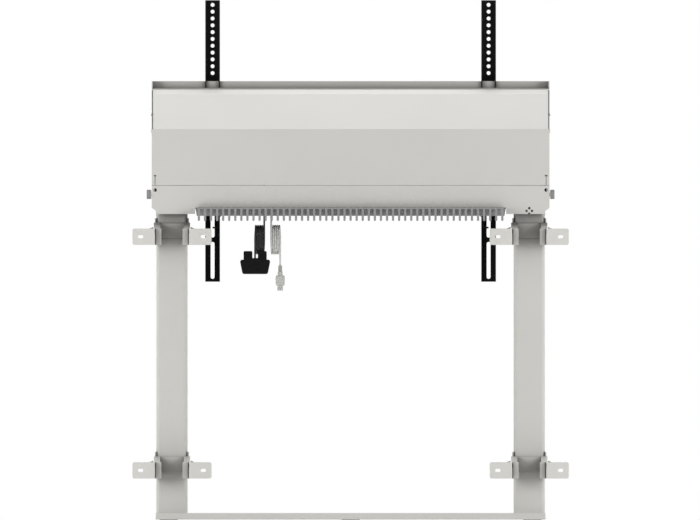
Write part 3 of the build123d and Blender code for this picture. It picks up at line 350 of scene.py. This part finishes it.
NODE_FINISHES = {
    "paint": ("upper_rear_cover", "lower_rear_panel"),
    "column": ("left_column_tube", "right_column_tube"),
    "end_plate": ("left_end_plate", "right_end_plate"),
    "plate": ("front_plate",),
    "base": ("base_bar",),
    "bracket": ("left_top_saddle", "right_top_saddle", "left_bottom_saddle", "right_bottom_saddle",
                "left_top_ears", "right_top_ears", "left_bottom_ears", "right_bottom_ears"),
    "strip": ("left_strip", "right_strip", "left_strip_latch", "right_strip_latch"),
    "comb": ("cable_comb",),
    "handset": ("handset_case", "handset_back"),
    "button": ("up_button", "down_button"),
    "knob": ("left_knob", "right_knob"),
    "rubber": ("floor_pads",),
    "box": ("control_box", "control_box_lid", "cord_glands"),
    "glide": ("upper_glides", "lower_glides"),
    "steel": ("column_feet", "push_tubes", "left_head_bracket", "right_head_bracket",
              "left_spindle", "right_spindle"),
    "tube": ("left_inner_tube", "right_inner_tube"),
    "zinc": ("column_screws", "ear_bolts", "spindle_bearings"),
    "cast": ("left_gearbox", "right_gearbox"),
    "bronze": ("spindle_nuts",),
    "enamel": ("left_motor", "right_motor"),
    "board": ("control_board",),
}


class LIFT_OT_finishes(bpy.types.Operator):
    """Gives every solid of the lift its finish"""
    bl_idname = "lift.finishes"
    bl_label = "Finishes"

    def execute(self, context):
        make_materials(context.scene.lift_colours)
        for finish, names in NODE_FINISHES.items():
            for name in names:
                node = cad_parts[name]
                node.data.materials.clear()
                node.data.materials.append(MATERIALS[finish])
        return {"FINISHED"}


# Shapes

# Edges sharper than this, in degrees, stay crisp
CRISP_ANGLE = 35
# Corners nearer than this are one: in a spun shape, and in a solid that comes in loose triangles
SEAM_DISTANCE = 1e-7
WELD_DISTANCE = 1e-6


def smooth(mesh, degrees):
    """Smooth shading, with crisp edges kept."""
    mesh.normal_update()
    limit = math.radians(degrees)
    for face in mesh.faces:
        face.smooth = True
    for edge in mesh.edges:
        edge.smooth = len(edge.link_faces) < 2 or edge.calc_face_angle(0) < limit


def finished(mesh, name, body, material):
    """Turns a bmesh into a piece that rides on a body."""
    data = bpy.data.meshes.new(name)
    mesh.to_mesh(data)
    mesh.free()
    piece = bpy.data.objects.new(name, data)
    bpy.context.scene.collection.objects.link(piece)
    data.materials.append(MATERIALS[material])
    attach(piece, body)
    return piece


def turning(profile, steps=40, level=0.0):
    """A bmesh of pairs of radius and height above a level, spun about the Z axis."""
    mesh = bmesh.new()
    corners = [mesh.verts.new((radius, 0, level + height)) for radius, height in profile]
    edges = [mesh.edges.new(pair) for pair in zip(corners, corners[1:])]
    bmesh.ops.spin(mesh, geom=corners + edges, cent=(0, 0, 0), axis=(0, 0, 1), angle=math.tau,
                   steps=steps, use_merge=True)
    bmesh.ops.remove_doubles(mesh, verts=mesh.verts[:], dist=SEAM_DISTANCE)
    bmesh.ops.recalc_face_normals(mesh, faces=mesh.faces[:])
    return mesh


def block(width, depth, height):
    """A bmesh of a box about the origin."""
    mesh = bmesh.new()
    bmesh.ops.create_cube(mesh, size=1)
    bmesh.ops.scale(mesh, vec=(width, depth, height), verts=mesh.verts[:])
    return mesh


def drawn_out(sides, radius, height):
    """A bmesh of an even polygon at the origin, drawn out along Z."""
    mesh = bmesh.new()
    bmesh.ops.create_circle(mesh, cap_ends=True, radius=radius, segments=sides)
    drawn = bmesh.ops.extrude_face_region(mesh, geom=mesh.faces[:])
    moved = [item for item in drawn["geom"] if isinstance(item, bmesh.types.BMVert)]
    bmesh.ops.translate(mesh, verts=moved, vec=(0, 0, height))
    return mesh


def rounded(mesh, edges, offset, segments=2):
    """Rounds some edges of a bmesh."""
    bmesh.ops.bevel(mesh, geom=edges, offset=offset, segments=segments, profile=0.5, affect="EDGES",
                    material=-1)


def shifted(mesh, x, y, z=0.0):
    """Moves a whole bmesh."""
    bmesh.ops.translate(mesh, verts=mesh.verts[:], vec=(x, y, z))


def add_copy(mesh, other, matrix):
    """Adds a placed copy of one bmesh to another."""
    data = bpy.data.meshes.new("copy")
    other.to_mesh(data)
    data.transform(matrix)
    mesh.from_mesh(data)
    bpy.data.meshes.remove(data)


def middle_of(node):
    """The middle of a node's box."""
    low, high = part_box(node)
    return (low + high) / 2


def islands(node):
    """The lowest and highest corner of each separate solid of a node."""
    mesh = bmesh.new()
    mesh.from_mesh(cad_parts[node].data)
    bmesh.ops.remove_doubles(mesh, verts=mesh.verts[:], dist=WELD_DISTANCE)
    seen = set()
    found = []
    for vert in mesh.verts:
        if vert in seen:
            continue
        stack = [vert]
        group = []
        seen.add(vert)
        while stack:
            here = stack.pop()
            group.append(here.co.copy())
            for edge in here.link_edges:
                other = edge.other_vert(here)
                if other not in seen:
                    seen.add(other)
                    stack.append(other)
        low = Vector([min(place[axis] for place in group) for axis in range(3)])
        high = Vector([max(place[axis] for place in group) for axis in range(3)])
        found.append((low, high))
    mesh.free()
    return found


# Cords

# The folds of a hank are drawn together to this share of its width
FOLD_SHARE = 0.93
# Control points of one fold, which are the corners round an even arc
FOLD_CORNERS = 4
# How far from its ends a run has its control points, as a share of the hank's height
RUN_SHARE = 0.4
# The first control point below the gland, as a share of the hank's height
DROP_SHARE = 1 / 3
# Straight ends of a hank's tube beyond its folds, above and below
HANK_TOP_END = 0.003
HANK_LOW_END = 0.0038


def hank_route(start, end_x, sizes, top, bottom, exit_z, end_z):
    """Control points of one lead, down from its gland, round the loops and on to its end."""
    x, near = start
    far = near + sizes.run_spread
    step = (end_x - x) / sizes.loops
    middle_x = (x + end_x) / 2
    height = top - bottom
    high = top - height * RUN_SHARE
    low = bottom + height * RUN_SHARE
    radius = sizes.fold_radius
    corner = radius / math.cos(math.pi / FOLD_CORNERS / 2)

    def fold(first, last, level, outward, from_y, to_y):
        """Round a fold from one run to the other; folds sit closer together than the runs between them."""
        points = []
        into = math.copysign(radius, to_y - from_y)
        for k in range(FOLD_CORNERS):
            share = (k + 0.5) / FOLD_CORNERS
            angle = share * math.pi
            place = first + (last - first) * share
            centre_y = from_y + into if k < FOLD_CORNERS / 2 else to_y - into
            points.append((middle_x + (place - middle_x) * FOLD_SHARE,
                           centre_y - math.copysign(corner, into) * math.cos(angle),
                           level - outward * radius + outward * corner * math.sin(angle)))
        return points

    points = [(x, near, exit_z), (x, near, exit_z - height * DROP_SHARE), (x, near, top)]
    for loop in range(sizes.loops):
        here = x + loop * step
        points += [(here, near, high), (here, near, low)]
        points += fold(here, here + step / 2, bottom, -1, near, far)
        points += [(here + step / 2, far, low), (here + step / 2, far, high)]
        points += fold(here + step / 2, here + step, top, 1, far, near)
    points += [(end_x, near, high), (end_x, near, low), (end_x, near, end_z)]
    return points


def make_lead(name, points, diameter, slot):
    """A lead as one smooth curve with a round section; its finish is named like its slot."""
    data = bpy.data.curves.new(name, "CURVE")
    data.dimensions = "3D"
    spline = data.splines.new("NURBS")
    spline.points.add(len(points) - 1)
    for point, place in zip(spline.points, points):
        point.co = (*place, 1)
    spline.order_u = 3
    spline.use_endpoint_u = True
    data.resolution_u = 6
    data.bevel_depth = diameter / 2
    data.bevel_resolution = 5
    data.use_fill_caps = True
    data.materials.append(MATERIALS[slot])
    lead = bpy.data.objects.new(name, data)
    bpy.context.scene.collection.objects.link(lead)
    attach(lead, "carriage")
    return lead


def hang_lead(name, diameter, sizes, slot):
    """Lays a lead along the solids of its drop, hank and tail.

    Gives the lead, the place of its drop across X and Y, and the drop's upper corner."""
    drop_low, drop_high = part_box(name + "_drop")
    hank_low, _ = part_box(name + "_hank")
    tail_low, tail_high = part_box(name + "_tail")
    start = ((drop_low.x + drop_high.x) / 2, (drop_low.y + drop_high.y) / 2)
    end_x = (tail_low.x + tail_high.x) / 2
    top = drop_low.z - HANK_TOP_END - diameter / 2
    bottom = hank_low.z + HANK_LOW_END + diameter / 2
    points = hank_route(start, end_x, sizes, top, bottom, drop_high.z, tail_low.z)
    return make_lead(name, points, diameter, slot), start, drop_high


class LIFT_OT_black_lead(bpy.types.Operator):
    """Adds the handset's lead with its hank"""
    bl_idname = "lift.black_lead"
    bl_label = "Black lead"

    def execute(self, context):
        sizes = context.scene.lift_leads
        lead, start, drop_high = hang_lead("black_lead", sizes.black_diameter, sizes, "black_cord")
        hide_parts("black_lead_drop", "black_lead_hank", "black_lead_tail")
        return {"FINISHED"}


class LIFT_OT_grey_lead(bpy.types.Operator):
    """Adds the data lead with its hank and its plug"""
    bl_idname = "lift.grey_lead"
    bl_label = "Grey lead and plug"

    def execute(self, context):
        sizes = context.scene.lift_leads
        plug = make_plug(context.scene.lift_fittings)
        lead, start, drop_high = hang_lead("grey_lead", sizes.grey_diameter, sizes, "grey_cord")
        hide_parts("grey_lead_drop", "grey_lead_hank", "grey_lead_tail")
        return {"FINISHED"}


# Plug

RELIEF_LENGTH = 0.0137
RELIEF_RADIUS = 0.0046
# Where a rib begins and ends and where its groove begins, as shares of the ribs' pitch
RIB_START = 0.15
RIB_END = 0.55
GROOVE_START = 0.7

# Turned shapes in this file are pairs of radius and height
COLLAR_LENGTH = 0.0079
COLLAR = ((0.0, 0.0002), (0.0048, 0.0002), (0.0055, -0.0006), (0.0055, -COLLAR_LENGTH), (0.0, -COLLAR_LENGTH))
NOSE = ((0.0, 0.0), (0.0062, 0.0), (0.0064, -0.0006), (0.0064, -0.0045), (0.006, -0.0049), (0.0, -0.0049))

# The grip, in shares of its height from its middle: finger grooves' rows, those drawn in, and its ends
GRIP_HEIGHT = 0.0222
GRIP_ROWS = (-0.3, -0.18, -0.06, 0.06, 0.18, 0.3)
GROOVE_ROWS = (0.06, 0.3)
END_ROWS = 0.45
GROOVE_SCALE = (0.965, 0.95, 1)
END_SCALE = (0.9, 0.88, 1)
GRIP_CORNER = 0.003
GRIP_END_EDGE = 0.0008

SHELL_WALL = 0.0006
SHELL_LIP = 0.0003
INSERT_DEPTH = 0.003
PIN_COUNT = 4
PIN_CIRCLE = 0.003
PIN = ((0.0, 0.003), (0.0005, 0.003), (0.0005, 0.0006), (0.0002, 0.0003), (0.0, 0.0003))


def relief_profile(top, bottom, sizes):
    """The strain relief's outline, rib after rib from its top down."""
    groove_radius = RELIEF_RADIUS - sizes.rib_depth
    pitch = (top - bottom) / sizes.rib_count
    profile = [(0.0, top), (groove_radius, top)]
    for rib in range(sizes.rib_count):
        high = top - rib * pitch
        profile.append((RELIEF_RADIUS, high - pitch * RIB_START))
        profile.append((RELIEF_RADIUS, high - pitch * RIB_END))
        profile.append((groove_radius, high - pitch * GROOVE_START))
        profile.append((groove_radius, high - pitch))
    profile.append((0.0, bottom))
    return profile


def make_plug(sizes):
    """The data plug: ribbed strain relief, collar, moulded grip and metal shell with its pins."""
    middle = middle_of("plug")
    top = PLUG_HIGH.z
    relief_bottom = top - RELIEF_LENGTH
    mesh = turning(relief_profile(top, relief_bottom, sizes))
    shifted(mesh, middle.x, middle.y)
    smooth(mesh, CRISP_ANGLE)
    relief = finished(mesh, "plug_relief", "carriage", "relief")
    neck = turning(COLLAR, level=relief_bottom)
    shifted(neck, middle.x, middle.y)
    smooth(neck, CRISP_ANGLE)
    collar = finished(neck, "plug_collar", "carriage", "plug")
    grip = make_plug_grip(middle, relief_bottom - COLLAR_LENGTH)
    shell = make_plug_shell(middle)
    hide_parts("plug")
    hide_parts("plug_shell")
    for piece in (collar, grip, shell):
        piece.parent = relief
    return relief


def make_plug_grip(middle, top):
    """The grip, with its finger grooves and the round nose under it."""
    mesh = block(PLUG_HIGH.x - PLUG_LOW.x, PLUG_HIGH.y - PLUG_LOW.y, GRIP_HEIGHT)
    for share in GRIP_ROWS:
        bmesh.ops.bisect_plane(mesh, geom=mesh.verts[:] + mesh.edges[:] + mesh.faces[:],
                               plane_co=(0, 0, share * GRIP_HEIGHT), plane_no=(0, 0, 1))
    level = GRIP_HEIGHT / 100
    upright = [edge for edge in mesh.edges if abs(edge.verts[0].co.z - edge.verts[1].co.z) > level]
    rounded(mesh, upright, GRIP_CORNER, segments=4)
    rows = {}
    for vert in mesh.verts:
        rows.setdefault(round(vert.co.z / GRIP_HEIGHT, 2), []).append(vert)
    for share, row in rows.items():
        if abs(share) > END_ROWS:
            bmesh.ops.scale(mesh, vec=END_SCALE, verts=row)
        elif abs(share) in GROOVE_ROWS:
            bmesh.ops.scale(mesh, vec=GROOVE_SCALE, verts=row)
    ends = [edge for edge in mesh.edges
            if all(abs(vert.co.z) > GRIP_HEIGHT * END_ROWS for vert in edge.verts)]
    rounded(mesh, ends, GRIP_END_EDGE)
    shifted(mesh, middle.x, middle.y, top - GRIP_HEIGHT / 2)
    nose = turning(NOSE, level=top - GRIP_HEIGHT)
    add_copy(mesh, nose, Matrix.Translation((middle.x, middle.y, 0)))
    nose.free()
    smooth(mesh, CRISP_ANGLE)
    return finished(mesh, "plug_grip", "carriage", "plug")


def make_plug_shell(middle):
    """The metal shell, its insert and its pins."""
    top = SHELL_HIGH.z
    low = SHELL_LOW.z
    radius = (SHELL_HIGH.x - SHELL_LOW.x) / 2
    inner = radius - SHELL_WALL
    mesh = turning([(0.0, top), (radius, top), (radius, low + SHELL_LIP), (radius - SHELL_LIP, low),
                    (inner, low), (inner, low + INSERT_DEPTH), (0.0, low + INSERT_DEPTH)])
    pin = turning(PIN, steps=10)
    for k in range(PIN_COUNT):
        angle = math.tau / PIN_COUNT * (k + 0.5)
        place = (math.cos(angle) * PIN_CIRCLE, math.sin(angle) * PIN_CIRCLE, low)
        add_copy(mesh, pin, Matrix.Translation(place))
    pin.free()
    shifted(mesh, middle.x, middle.y)
    smooth(mesh, CRISP_ANGLE)
    return finished(mesh, "plug_metal_shell", "carriage", "nickel")


# Screws and bolts

HEAD_RADIUS = 0.0047
HEAD_HEIGHT = 0.003
# The upright brim of a head under its dome, as a share of its height
HEAD_BRIM = 0.35
# Points of the dome, and the degrees from one to the next
DOME_POINTS = 5
DOME_STEP = 15
# The flat ring round a socket, against the socket's corners
HEAD_RING = 1.1
SHANK_RADIUS = 0.002
SHANK_LENGTH = 0.008

# An ear bolt along Z, its threaded end at the origin and its head far below
BOLT_SHANK = ((0.0, 0.0), (0.0034, 0.0), (0.004, -0.0006), (0.004, -0.0186), (0.0, -0.0186))
FLANGE = ((0.0041, -0.0035), (0.0086, -0.0035), (0.0092, -0.0045), (0.0108, -0.0082), (0.011, -0.009),
          (0.0041, -0.009), (0.0041, -0.0035))
# The nut's and the head's hexagon: width across flats, lower and upper end
HEXAGONS = ((0.017, -0.0066, -0.0012), (0.013, -0.0205, -0.0155))
HEXAGON_EDGE = 0.0005
BOLT_CRISP_ANGLE = 30


def screw_shape(sizes):
    """A button head screw at the origin, its head above the face, with a hexagon socket."""
    rim = sizes.socket_width / 2 / math.cos(math.pi / 6)
    profile = [(0.0, -SHANK_LENGTH), (SHANK_RADIUS, -SHANK_LENGTH), (SHANK_RADIUS, 0.0), (HEAD_RADIUS, 0.0)]
    for k in range(DOME_POINTS):
        angle = math.radians(k * DOME_STEP)
        rise = HEAD_BRIM + (1 - HEAD_BRIM) * math.sin(angle)
        profile.append((HEAD_RADIUS * math.cos(angle), HEAD_HEIGHT * rise))
    profile.append((rim * HEAD_RING, HEAD_HEIGHT))
    mesh = turning(profile, steps=24)
    socket = drawn_out(sides=6, radius=rim, height=-sizes.socket_depth)
    top_faces = [face for face in socket.faces if all(abs(vert.co.z) < SEAM_DISTANCE for vert in face.verts)]
    bmesh.ops.delete(socket, geom=top_faces, context="FACES_ONLY")
    add_copy(mesh, socket, Matrix.Translation((0, 0, HEAD_HEIGHT)))
    socket.free()
    bmesh.ops.bridge_loops(mesh, edges=[edge for edge in mesh.edges if edge.is_boundary])
    bmesh.ops.recalc_face_normals(mesh, faces=mesh.faces[:])
    return mesh


def bolt_shape():
    """An ear bolt with its shank, its nut with a cone shaped flange and its head."""
    mesh = turning(BOLT_SHANK, steps=24)
    flange = turning(FLANGE, steps=36)
    add_copy(mesh, flange, Matrix())
    flange.free()
    for across_flats, low, high in HEXAGONS:
        corner = across_flats / math.sqrt(3)
        hexagon = bmesh.new()
        bmesh.ops.create_cone(hexagon, cap_ends=True, segments=6, radius1=corner, radius2=corner,
                              depth=high - low)
        ends = [edge for edge in hexagon.edges
                if abs(edge.verts[0].co.z - edge.verts[1].co.z) < WELD_DISTANCE]
        rounded(hexagon, ends, HEXAGON_EDGE)
        add_copy(mesh, hexagon, Matrix.Translation((0, 0, (low + high) / 2)))
        hexagon.free()
    return mesh


class LIFT_OT_casing_screws(bpy.types.Operator):
    """Adds the casing's socket screws in place of the plain ones"""
    bl_idname = "lift.casing_screws"
    bl_label = "Casing screws"

    def execute(self, context):
        single = screw_shape(context.scene.lift_fittings)
        mesh = bmesh.new()
        for low, high in islands("casing_screws"):
            middle = (low + high) / 2
            if high.x - low.x > high.y - low.y:
                side = 1 if middle.x > 0 else -1
                face = (high.x if side > 0 else low.x) - side * HEAD_HEIGHT
                turn = Matrix.Rotation(side * QUARTER_TURN, 4, "Y")
                place = Matrix.Translation((face, middle.y, middle.z))
            else:
                turn = Matrix.Rotation(-QUARTER_TURN, 4, "X")
                place = Matrix.Translation((middle.x, high.y - HEAD_HEIGHT, middle.z))
            add_copy(mesh, single, place @ turn)
        single.free()
        smooth(mesh, CRISP_ANGLE)
        screws = finished(mesh, "casing_socket_screws", "carriage", "zinc")
        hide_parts("casing_screws")
        return {"FINISHED"}


class LIFT_OT_ear_bolts(bpy.types.Operator):
    """Adds the wall ears' clamp bolts with cone shaped flange nuts"""
    bl_idname = "lift.ear_bolts"
    bl_label = "Ear bolts"

    def execute(self, context):
        single = bolt_shape()
        mesh = bmesh.new()
        for low, high in islands("ear_bolts"):
            middle = (low + high) / 2
            column = math.copysign((COLUMN_HIGH.x + COLUMN_LOW.x) / 2, middle.x)
            side = 1 if middle.x > column else -1
            end = high.x if side > 0 else low.x
            turn = Matrix.Rotation(side * QUARTER_TURN, 4, "Y")
            add_copy(mesh, single, Matrix.Translation((end, middle.y, middle.z)) @ turn)
        single.free()
        smooth(mesh, BOLT_CRISP_ANGLE)
        bolts = finished(mesh, "ear_clamp_bolts", "stand", "nut")
        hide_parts("ear_bolts")
        return {"FINISHED"}


# Knob washers and handset

WASHER = ((0.0053, 0.0), (0.0096, 0.0), (0.0099, 0.0004), (0.0099, 0.0012), (0.0096, 0.0016),
          (0.0053, 0.0016), (0.0053, 0.0))
# From a knob's outer face in to its washer
WASHER_INSET = 0.0109

GRIP_RIB = (0.0011, 0.0008, 0.016)
GRIP_RIB_EDGE = 0.0003
GRIP_RIB_PITCH = 0.0026
GRIP_RIBS_PER_SIDE = 4
# How far the ribs' middle lies below the case's
GRIP_RIBS_DROP = 0.0015
# How deep ribs and arrows sit in what they stand on
SUNK = 0.0001


class LIFT_OT_knob_washers(bpy.types.Operator):
    """Adds the pale washers between the knobs and the casing"""
    bl_idname = "lift.knob_washers"
    bl_label = "Knob washers"

    def execute(self, context):
        for side, node in ((-1, "left_knob"), (1, "right_knob")):
            low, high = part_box(node)
            middle = (low + high) / 2
            outer = high.x if side > 0 else -low.x
            mesh = turning(WASHER, steps=48, level=outer - WASHER_INSET)
            turn = Matrix.Rotation(side * QUARTER_TURN, 4, "Y")
            place = Matrix.Translation((0, middle.y, middle.z)) @ turn
            bmesh.ops.transform(mesh, matrix=place, verts=mesh.verts[:])
            smooth(mesh, CRISP_ANGLE)
            finished(mesh, node + "_washer", node, "washer")
        return {"FINISHED"}


class LIFT_OT_handset_details(bpy.types.Operator):
    """Adds the grip ribs on the handset's back and the arrows on its buttons"""
    bl_idname = "lift.handset_details"
    bl_label = "Handset details"

    def execute(self, context):
        self.add_ribs()
        for node, turn in (("up_button", 0.0), ("down_button", math.pi)):
            self.add_arrow(node, turn, context.scene.lift_fittings)
        return {"FINISHED"}

    def add_ribs(self):
        """Adds the row of upright ribs on the back."""
        back_low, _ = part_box("handset_back")
        case = middle_of("handset_case")
        rib = block(*GRIP_RIB)
        rounded(rib, rib.edges[:], GRIP_RIB_EDGE)
        mesh = bmesh.new()
        for k in range(-GRIP_RIBS_PER_SIDE, GRIP_RIBS_PER_SIDE + 1):
            place = (case.x + k * GRIP_RIB_PITCH, back_low.y + SUNK, case.z - GRIP_RIBS_DROP)
            add_copy(mesh, rib, Matrix.Translation(place))
        rib.free()
        smooth(mesh, CRISP_ANGLE)
        finished(mesh, "handset_ribs", "carriage", "handset")

    def add_arrow(self, node, turn, sizes):
        """Adds a raised arrow on a button, turned about the button's axis."""
        low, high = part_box(node)
        middle = (low + high) / 2
        mesh = drawn_out(sides=3, radius=sizes.arrow_width / 2, height=sizes.arrow_height)
        stand = Matrix.Rotation(-QUARTER_TURN, 4, "X")
        spin = Matrix.Rotation(turn, 4, "Y")
        place = Matrix.Translation((middle.x, high.y - SUNK, middle.z))
        bmesh.ops.transform(mesh, matrix=place @ spin @ stand, verts=mesh.verts[:])
        bmesh.ops.recalc_face_normals(mesh, faces=mesh.faces[:])
        finished(mesh, node + "_arrow", node, "arrow")


# Stage

CAMERA_DISTANCE = 4.0

# Each lamp's place and the property that holds its power
LAMPS = {
    "top_lamp": ((0, 0.45, 3.4), "top_power"),
    "left_lamp": ((-3.0, -1.9, 1.0), "side_power"),
    "right_lamp": ((3.0, -1.9, 1.0), "side_power"),
    "rear_left_lamp": ((-2.6, 2.6, 1.6), "rear_power"),
    "rear_right_lamp": ((2.6, 2.6, 1.6), "rear_power"),
}
LAMP_WIDTH = 2.0
LAMP_AIM = Vector((0, 0, 0.6))

FLOOR_REACH = 6.0
# A little below the pads, so that the two do not share a face
FLOOR_LEVEL = -0.0005
FLOOR_COLOUR = (0.8, 0.8, 0.795)
FLOOR_SHADE = 0.98
FLOOR_SCALE = 1.5
FLOOR_ROUGHNESS = 0.8


def seen_directly(tree):
    """One where a ray comes from the camera, a mirror or glass, and nothing elsewhere."""
    rays = add_node(tree, "ShaderNodeLightPath").outputs
    mirrored = add_node(tree, "ShaderNodeMath", {0: rays["Is Camera Ray"], 1: rays["Is Glossy Ray"]},
                        operation="MAXIMUM")
    through = add_node(tree, "ShaderNodeMath", {0: mirrored.outputs[0], 1: rays["Is Transmission Ray"]},
                       operation="MAXIMUM")
    return through.outputs[0]


class LIFT_OT_stage(bpy.types.Operator):
    """Adds the camera, lamps, white surroundings and floor"""
    bl_idname = "lift.stage"
    bl_label = "Stage"

    surround: FloatProperty(name="Surround", description="Strength of the light from all round",
                            default=0.14)
    top_power: FloatProperty(name="Top", description="Power of the large lamp above", default=76.0)
    side_power: FloatProperty(name="Sides", description="Power of the lamps on either side", default=72.0)
    rear_power: FloatProperty(name="Rear", description="Power of the lamps behind", default=45.0)

    def execute(self, context):
        self.add_camera(context.scene)
        self.add_surround(context.scene)
        for name, (place, power) in LAMPS.items():
            self.add_lamp(context.scene, name, place, getattr(self, power))
        self.add_floor(context.scene)
        context.scene.view_settings.view_transform = "Standard"
        return {"FINISHED"}

    def add_camera(self, scene):
        """Adds the camera that sees what the photograph shows, square on."""
        data = bpy.data.cameras.new("camera")
        data.type = "ORTHO"
        data.ortho_scale = PHOTO_WIDTH * METRES_PER_PIXEL
        camera = bpy.data.objects.new("camera", data)
        x = (PHOTO_WIDTH / 2 - PHOTO_MIDDLE_COLUMN) * METRES_PER_PIXEL
        z = (FLOOR_ROW - PHOTO_HEIGHT / 2) * METRES_PER_PIXEL
        camera.location = (x, -CAMERA_DISTANCE, z)
        camera.rotation_euler = (QUARTER_TURN, 0, 0)
        scene.collection.objects.link(camera)
        scene.camera = camera

    def add_surround(self, scene):
        """Adds the even light from all round, which is white where it is seen directly."""
        world = bpy.data.worlds.new("surround")
        world.use_nodes = True
        tree = world.node_tree
        strength = remapped(tree, seen_directly(tree), FULL_RANGE, (self.surround, 1.0))
        feed(tree, tree.nodes["Background"], {"Color": (1, 1, 1, 1), "Strength": strength})
        scene.world = world

    def add_lamp(self, scene, name, place, power):
        """Adds a round lamp that looks at the lift."""
        data = bpy.data.lights.new(name, "AREA")
        data.shape = "DISK"
        data.size = LAMP_WIDTH
        data.energy = power
        lamp = bpy.data.objects.new(name, data)
        lamp.location = place
        aim = LAMP_AIM - Vector(place)
        lamp.rotation_euler = aim.to_track_quat("-Z", "Y").to_euler()
        scene.collection.objects.link(lamp)

    def add_floor(self, scene):
        """Adds the pale floor."""
        mesh = bmesh.new()
        bmesh.ops.create_grid(mesh, x_segments=1, y_segments=1, size=FLOOR_REACH)
        shifted(mesh, 0, 0, FLOOR_LEVEL)
        data = bpy.data.meshes.new("floor")
        mesh.to_mesh(data)
        mesh.free()
        floor = bpy.data.objects.new("floor", data)
        scene.collection.objects.link(floor)
        material, tree, shader = new_material("pale_floor")
        soft = noise(tree, place_of(tree), FLOOR_SCALE)
        feed(tree, shader, {"Base Color": tinted(tree, vary(tree, soft), FLOOR_COLOUR, FLOOR_SHADE),
                            "Roughness": FLOOR_ROUGHNESS})
        data.materials.append(material)


class LIFT_PT_sidebar(bpy.types.Panel):
    """Lists the steps that dress the lift"""
    bl_idname = "LIFT_PT_sidebar"
    bl_label = "Television lift"
    bl_space_type = "VIEW_3D"
    bl_region_type = "UI"
    bl_category = "Television lift"

    def draw(self, context):
        scene = context.scene
        for group in (scene.lift_leads, scene.lift_fittings, scene.lift_colours):
            for name in group.bl_rna.properties.keys():
                if name not in ("name", "rna_type"):
                    self.layout.prop(group, name)
        for step in STEPS:
            self.layout.operator(step.bl_idname)


GROUPS = (LeadSizes, FittingSizes, FinishColours)
STEPS = (LIFT_OT_stage, LIFT_OT_finishes, LIFT_OT_black_lead, LIFT_OT_grey_lead,
         LIFT_OT_casing_screws, LIFT_OT_ear_bolts, LIFT_OT_knob_washers, LIFT_OT_handset_details)


def register():
    for item in GROUPS + STEPS + (LIFT_PT_sidebar,):
        bpy.utils.register_class(item)
    bpy.types.Scene.lift_leads = PointerProperty(type=LeadSizes)
    bpy.types.Scene.lift_fittings = PointerProperty(type=FittingSizes)
    bpy.types.Scene.lift_colours = PointerProperty(type=FinishColours)


def unregister():
    del bpy.types.Scene.lift_colours
    del bpy.types.Scene.lift_fittings
    del bpy.types.Scene.lift_leads
    for item in reversed(GROUPS + STEPS + (LIFT_PT_sidebar,)):
        bpy.utils.unregister_class(item)


def main():
    register()
    bpy.ops.lift.stage()
    bpy.ops.lift.finishes()
    bpy.ops.lift.black_lead()
    bpy.ops.lift.grey_lead()
    bpy.ops.lift.casing_screws()
    bpy.ops.lift.ear_bolts()
    bpy.ops.lift.knob_washers()
    bpy.ops.lift.handset_details()


if __name__ == "__main__":
    main()
